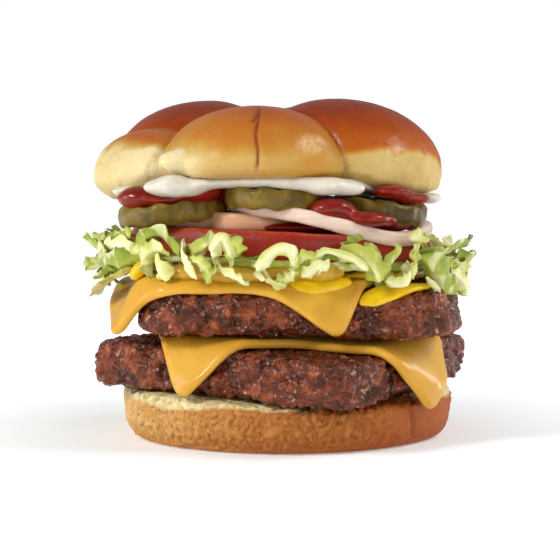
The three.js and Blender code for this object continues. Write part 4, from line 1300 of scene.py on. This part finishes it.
# ---------------------------------------------------------------- floor, light and camera
def mapped(tree, value, near, far, first, last):
    """A value that goes from `first` to `last` while the given one goes from `near` to `far`."""
    made = tree.nodes.new("ShaderNodeMapRange")
    tree.links.new(value, made.inputs["Value"])
    for socket, number in (("From Min", near), ("From Max", far), ("To Min", first), ("To Max", last)):
        made.inputs[socket].default_value = number
    return made.outputs["Result"]


def pale_floor():
    """A wide white floor that glows more the further it is from the burger."""
    mesh = bpy.data.meshes.new("floor")
    half = 3.0
    corners = [(-half, -half, 0), (half, -half, 0), (half, half, 0), (-half, half, 0)]
    mesh.from_pydata(corners, [], [(0, 1, 2, 3)])
    floor = bpy.data.objects.new("floor", mesh)
    bpy.context.scene.collection.objects.link(floor)
    look = Look("floor_white", Roughness=0.9, Specular_IOR_Level=0.1)
    look.shader.inputs["Emission Color"].default_value = (1, 1, 1, 1)
    away = look.node("ShaderNodeVectorMath", Vector=look.place)
    away.operation = "LENGTH"
    glow = mapped(look.tree, away.outputs["Value"], 0.06, 0.30, 0.22, 0.8)
    look.feed(look.shader.inputs["Emission Strength"], glow)
    mesh.materials.append(look.done(srgb("EEF1F2")))


def area_light(name, place, lit, size, power):
    """A white lamp with a face of `size` metres, turned to the place it lights; power in watts."""
    light = bpy.data.lights.new(name, "AREA")
    light.shape = "RECTANGLE"
    light.size, light.size_y = size
    light.energy = power
    lamp = bpy.data.objects.new(name, light)
    lamp.location = place
    aim = np.array(lit) - np.array(place)
    yaw = math.atan2(aim[1], aim[0])
    pitch = math.atan2(aim[2], math.hypot(aim[0], aim[1]))
    lamp.rotation_euler = (math.pi / 2 + pitch, 0, yaw - math.pi / 2)
    bpy.context.scene.collection.objects.link(lamp)


def photo_camera():
    """A 90 mm lens at eye level with the tomato, tipped down a little."""
    distance, height, tip = 467, 67.3, 2.05
    camera = bpy.data.cameras.new("camera")
    camera.lens = 90
    camera.sensor_width = 36
    camera.clip_start = 0.01
    eye = bpy.data.objects.new("camera", camera)
    eye.location = (AXIS[0] * MM, (AXIS[1] - distance) * MM, height * MM)
    eye.rotation_euler = (rad(90 - tip), 0, 0)
    bpy.context.scene.collection.objects.link(eye)
    bpy.context.scene.camera = eye


def studio_world():
    """A white backdrop that lights the burger less than it shows, so shapes keep their shading."""
    world = bpy.data.worlds.new("studio")
    world.use_nodes = True
    tree = world.node_tree
    way = tree.nodes.new("ShaderNodeTexCoord").outputs["Generated"]
    split = tree.nodes.new("ShaderNodeSeparateXYZ")
    tree.links.new(way, split.inputs["Vector"])
    fade = mapped(tree, split.outputs["Y"], -0.2, 0.6, 0.22, 0.42)
    seen = tree.nodes.new("ShaderNodeMath")
    seen.operation = "MAXIMUM"
    tree.links.new(fade, seen.inputs[0])
    tree.links.new(tree.nodes.new("ShaderNodeLightPath").outputs["Is Camera Ray"], seen.inputs[1])
    background = tree.nodes["Background"]
    background.inputs["Color"].default_value = (1, 1, 1, 1)
    tree.links.new(seen.outputs["Value"], background.inputs["Strength"])
    bpy.context.scene.world = world


pale_floor()
area_light("key", (-0.58, -0.50, 0.56), (0, 0, 0.05), (0.19, 0.19), 4.2)
area_light("side", (0.50, 0.20, 0.16), (0, 0, 0.05), (0.07, 0.42), 0.75)
area_light("left", (-0.58, -0.17, 0.15), (0, 0, 0.05), (0.16, 0.40), 1.1)
area_light("front", (0.30, -0.62, 0.20), (0, 0, 0.05), (0.26, 0.34), 0.8)
area_light("above", (0.46, -0.15, 0.49), (0, 0, 0.08), (0.2, 0.2), 1.5)
studio_world()
bpy.context.scene.view_settings.view_transform = "Standard"
photo_camera()
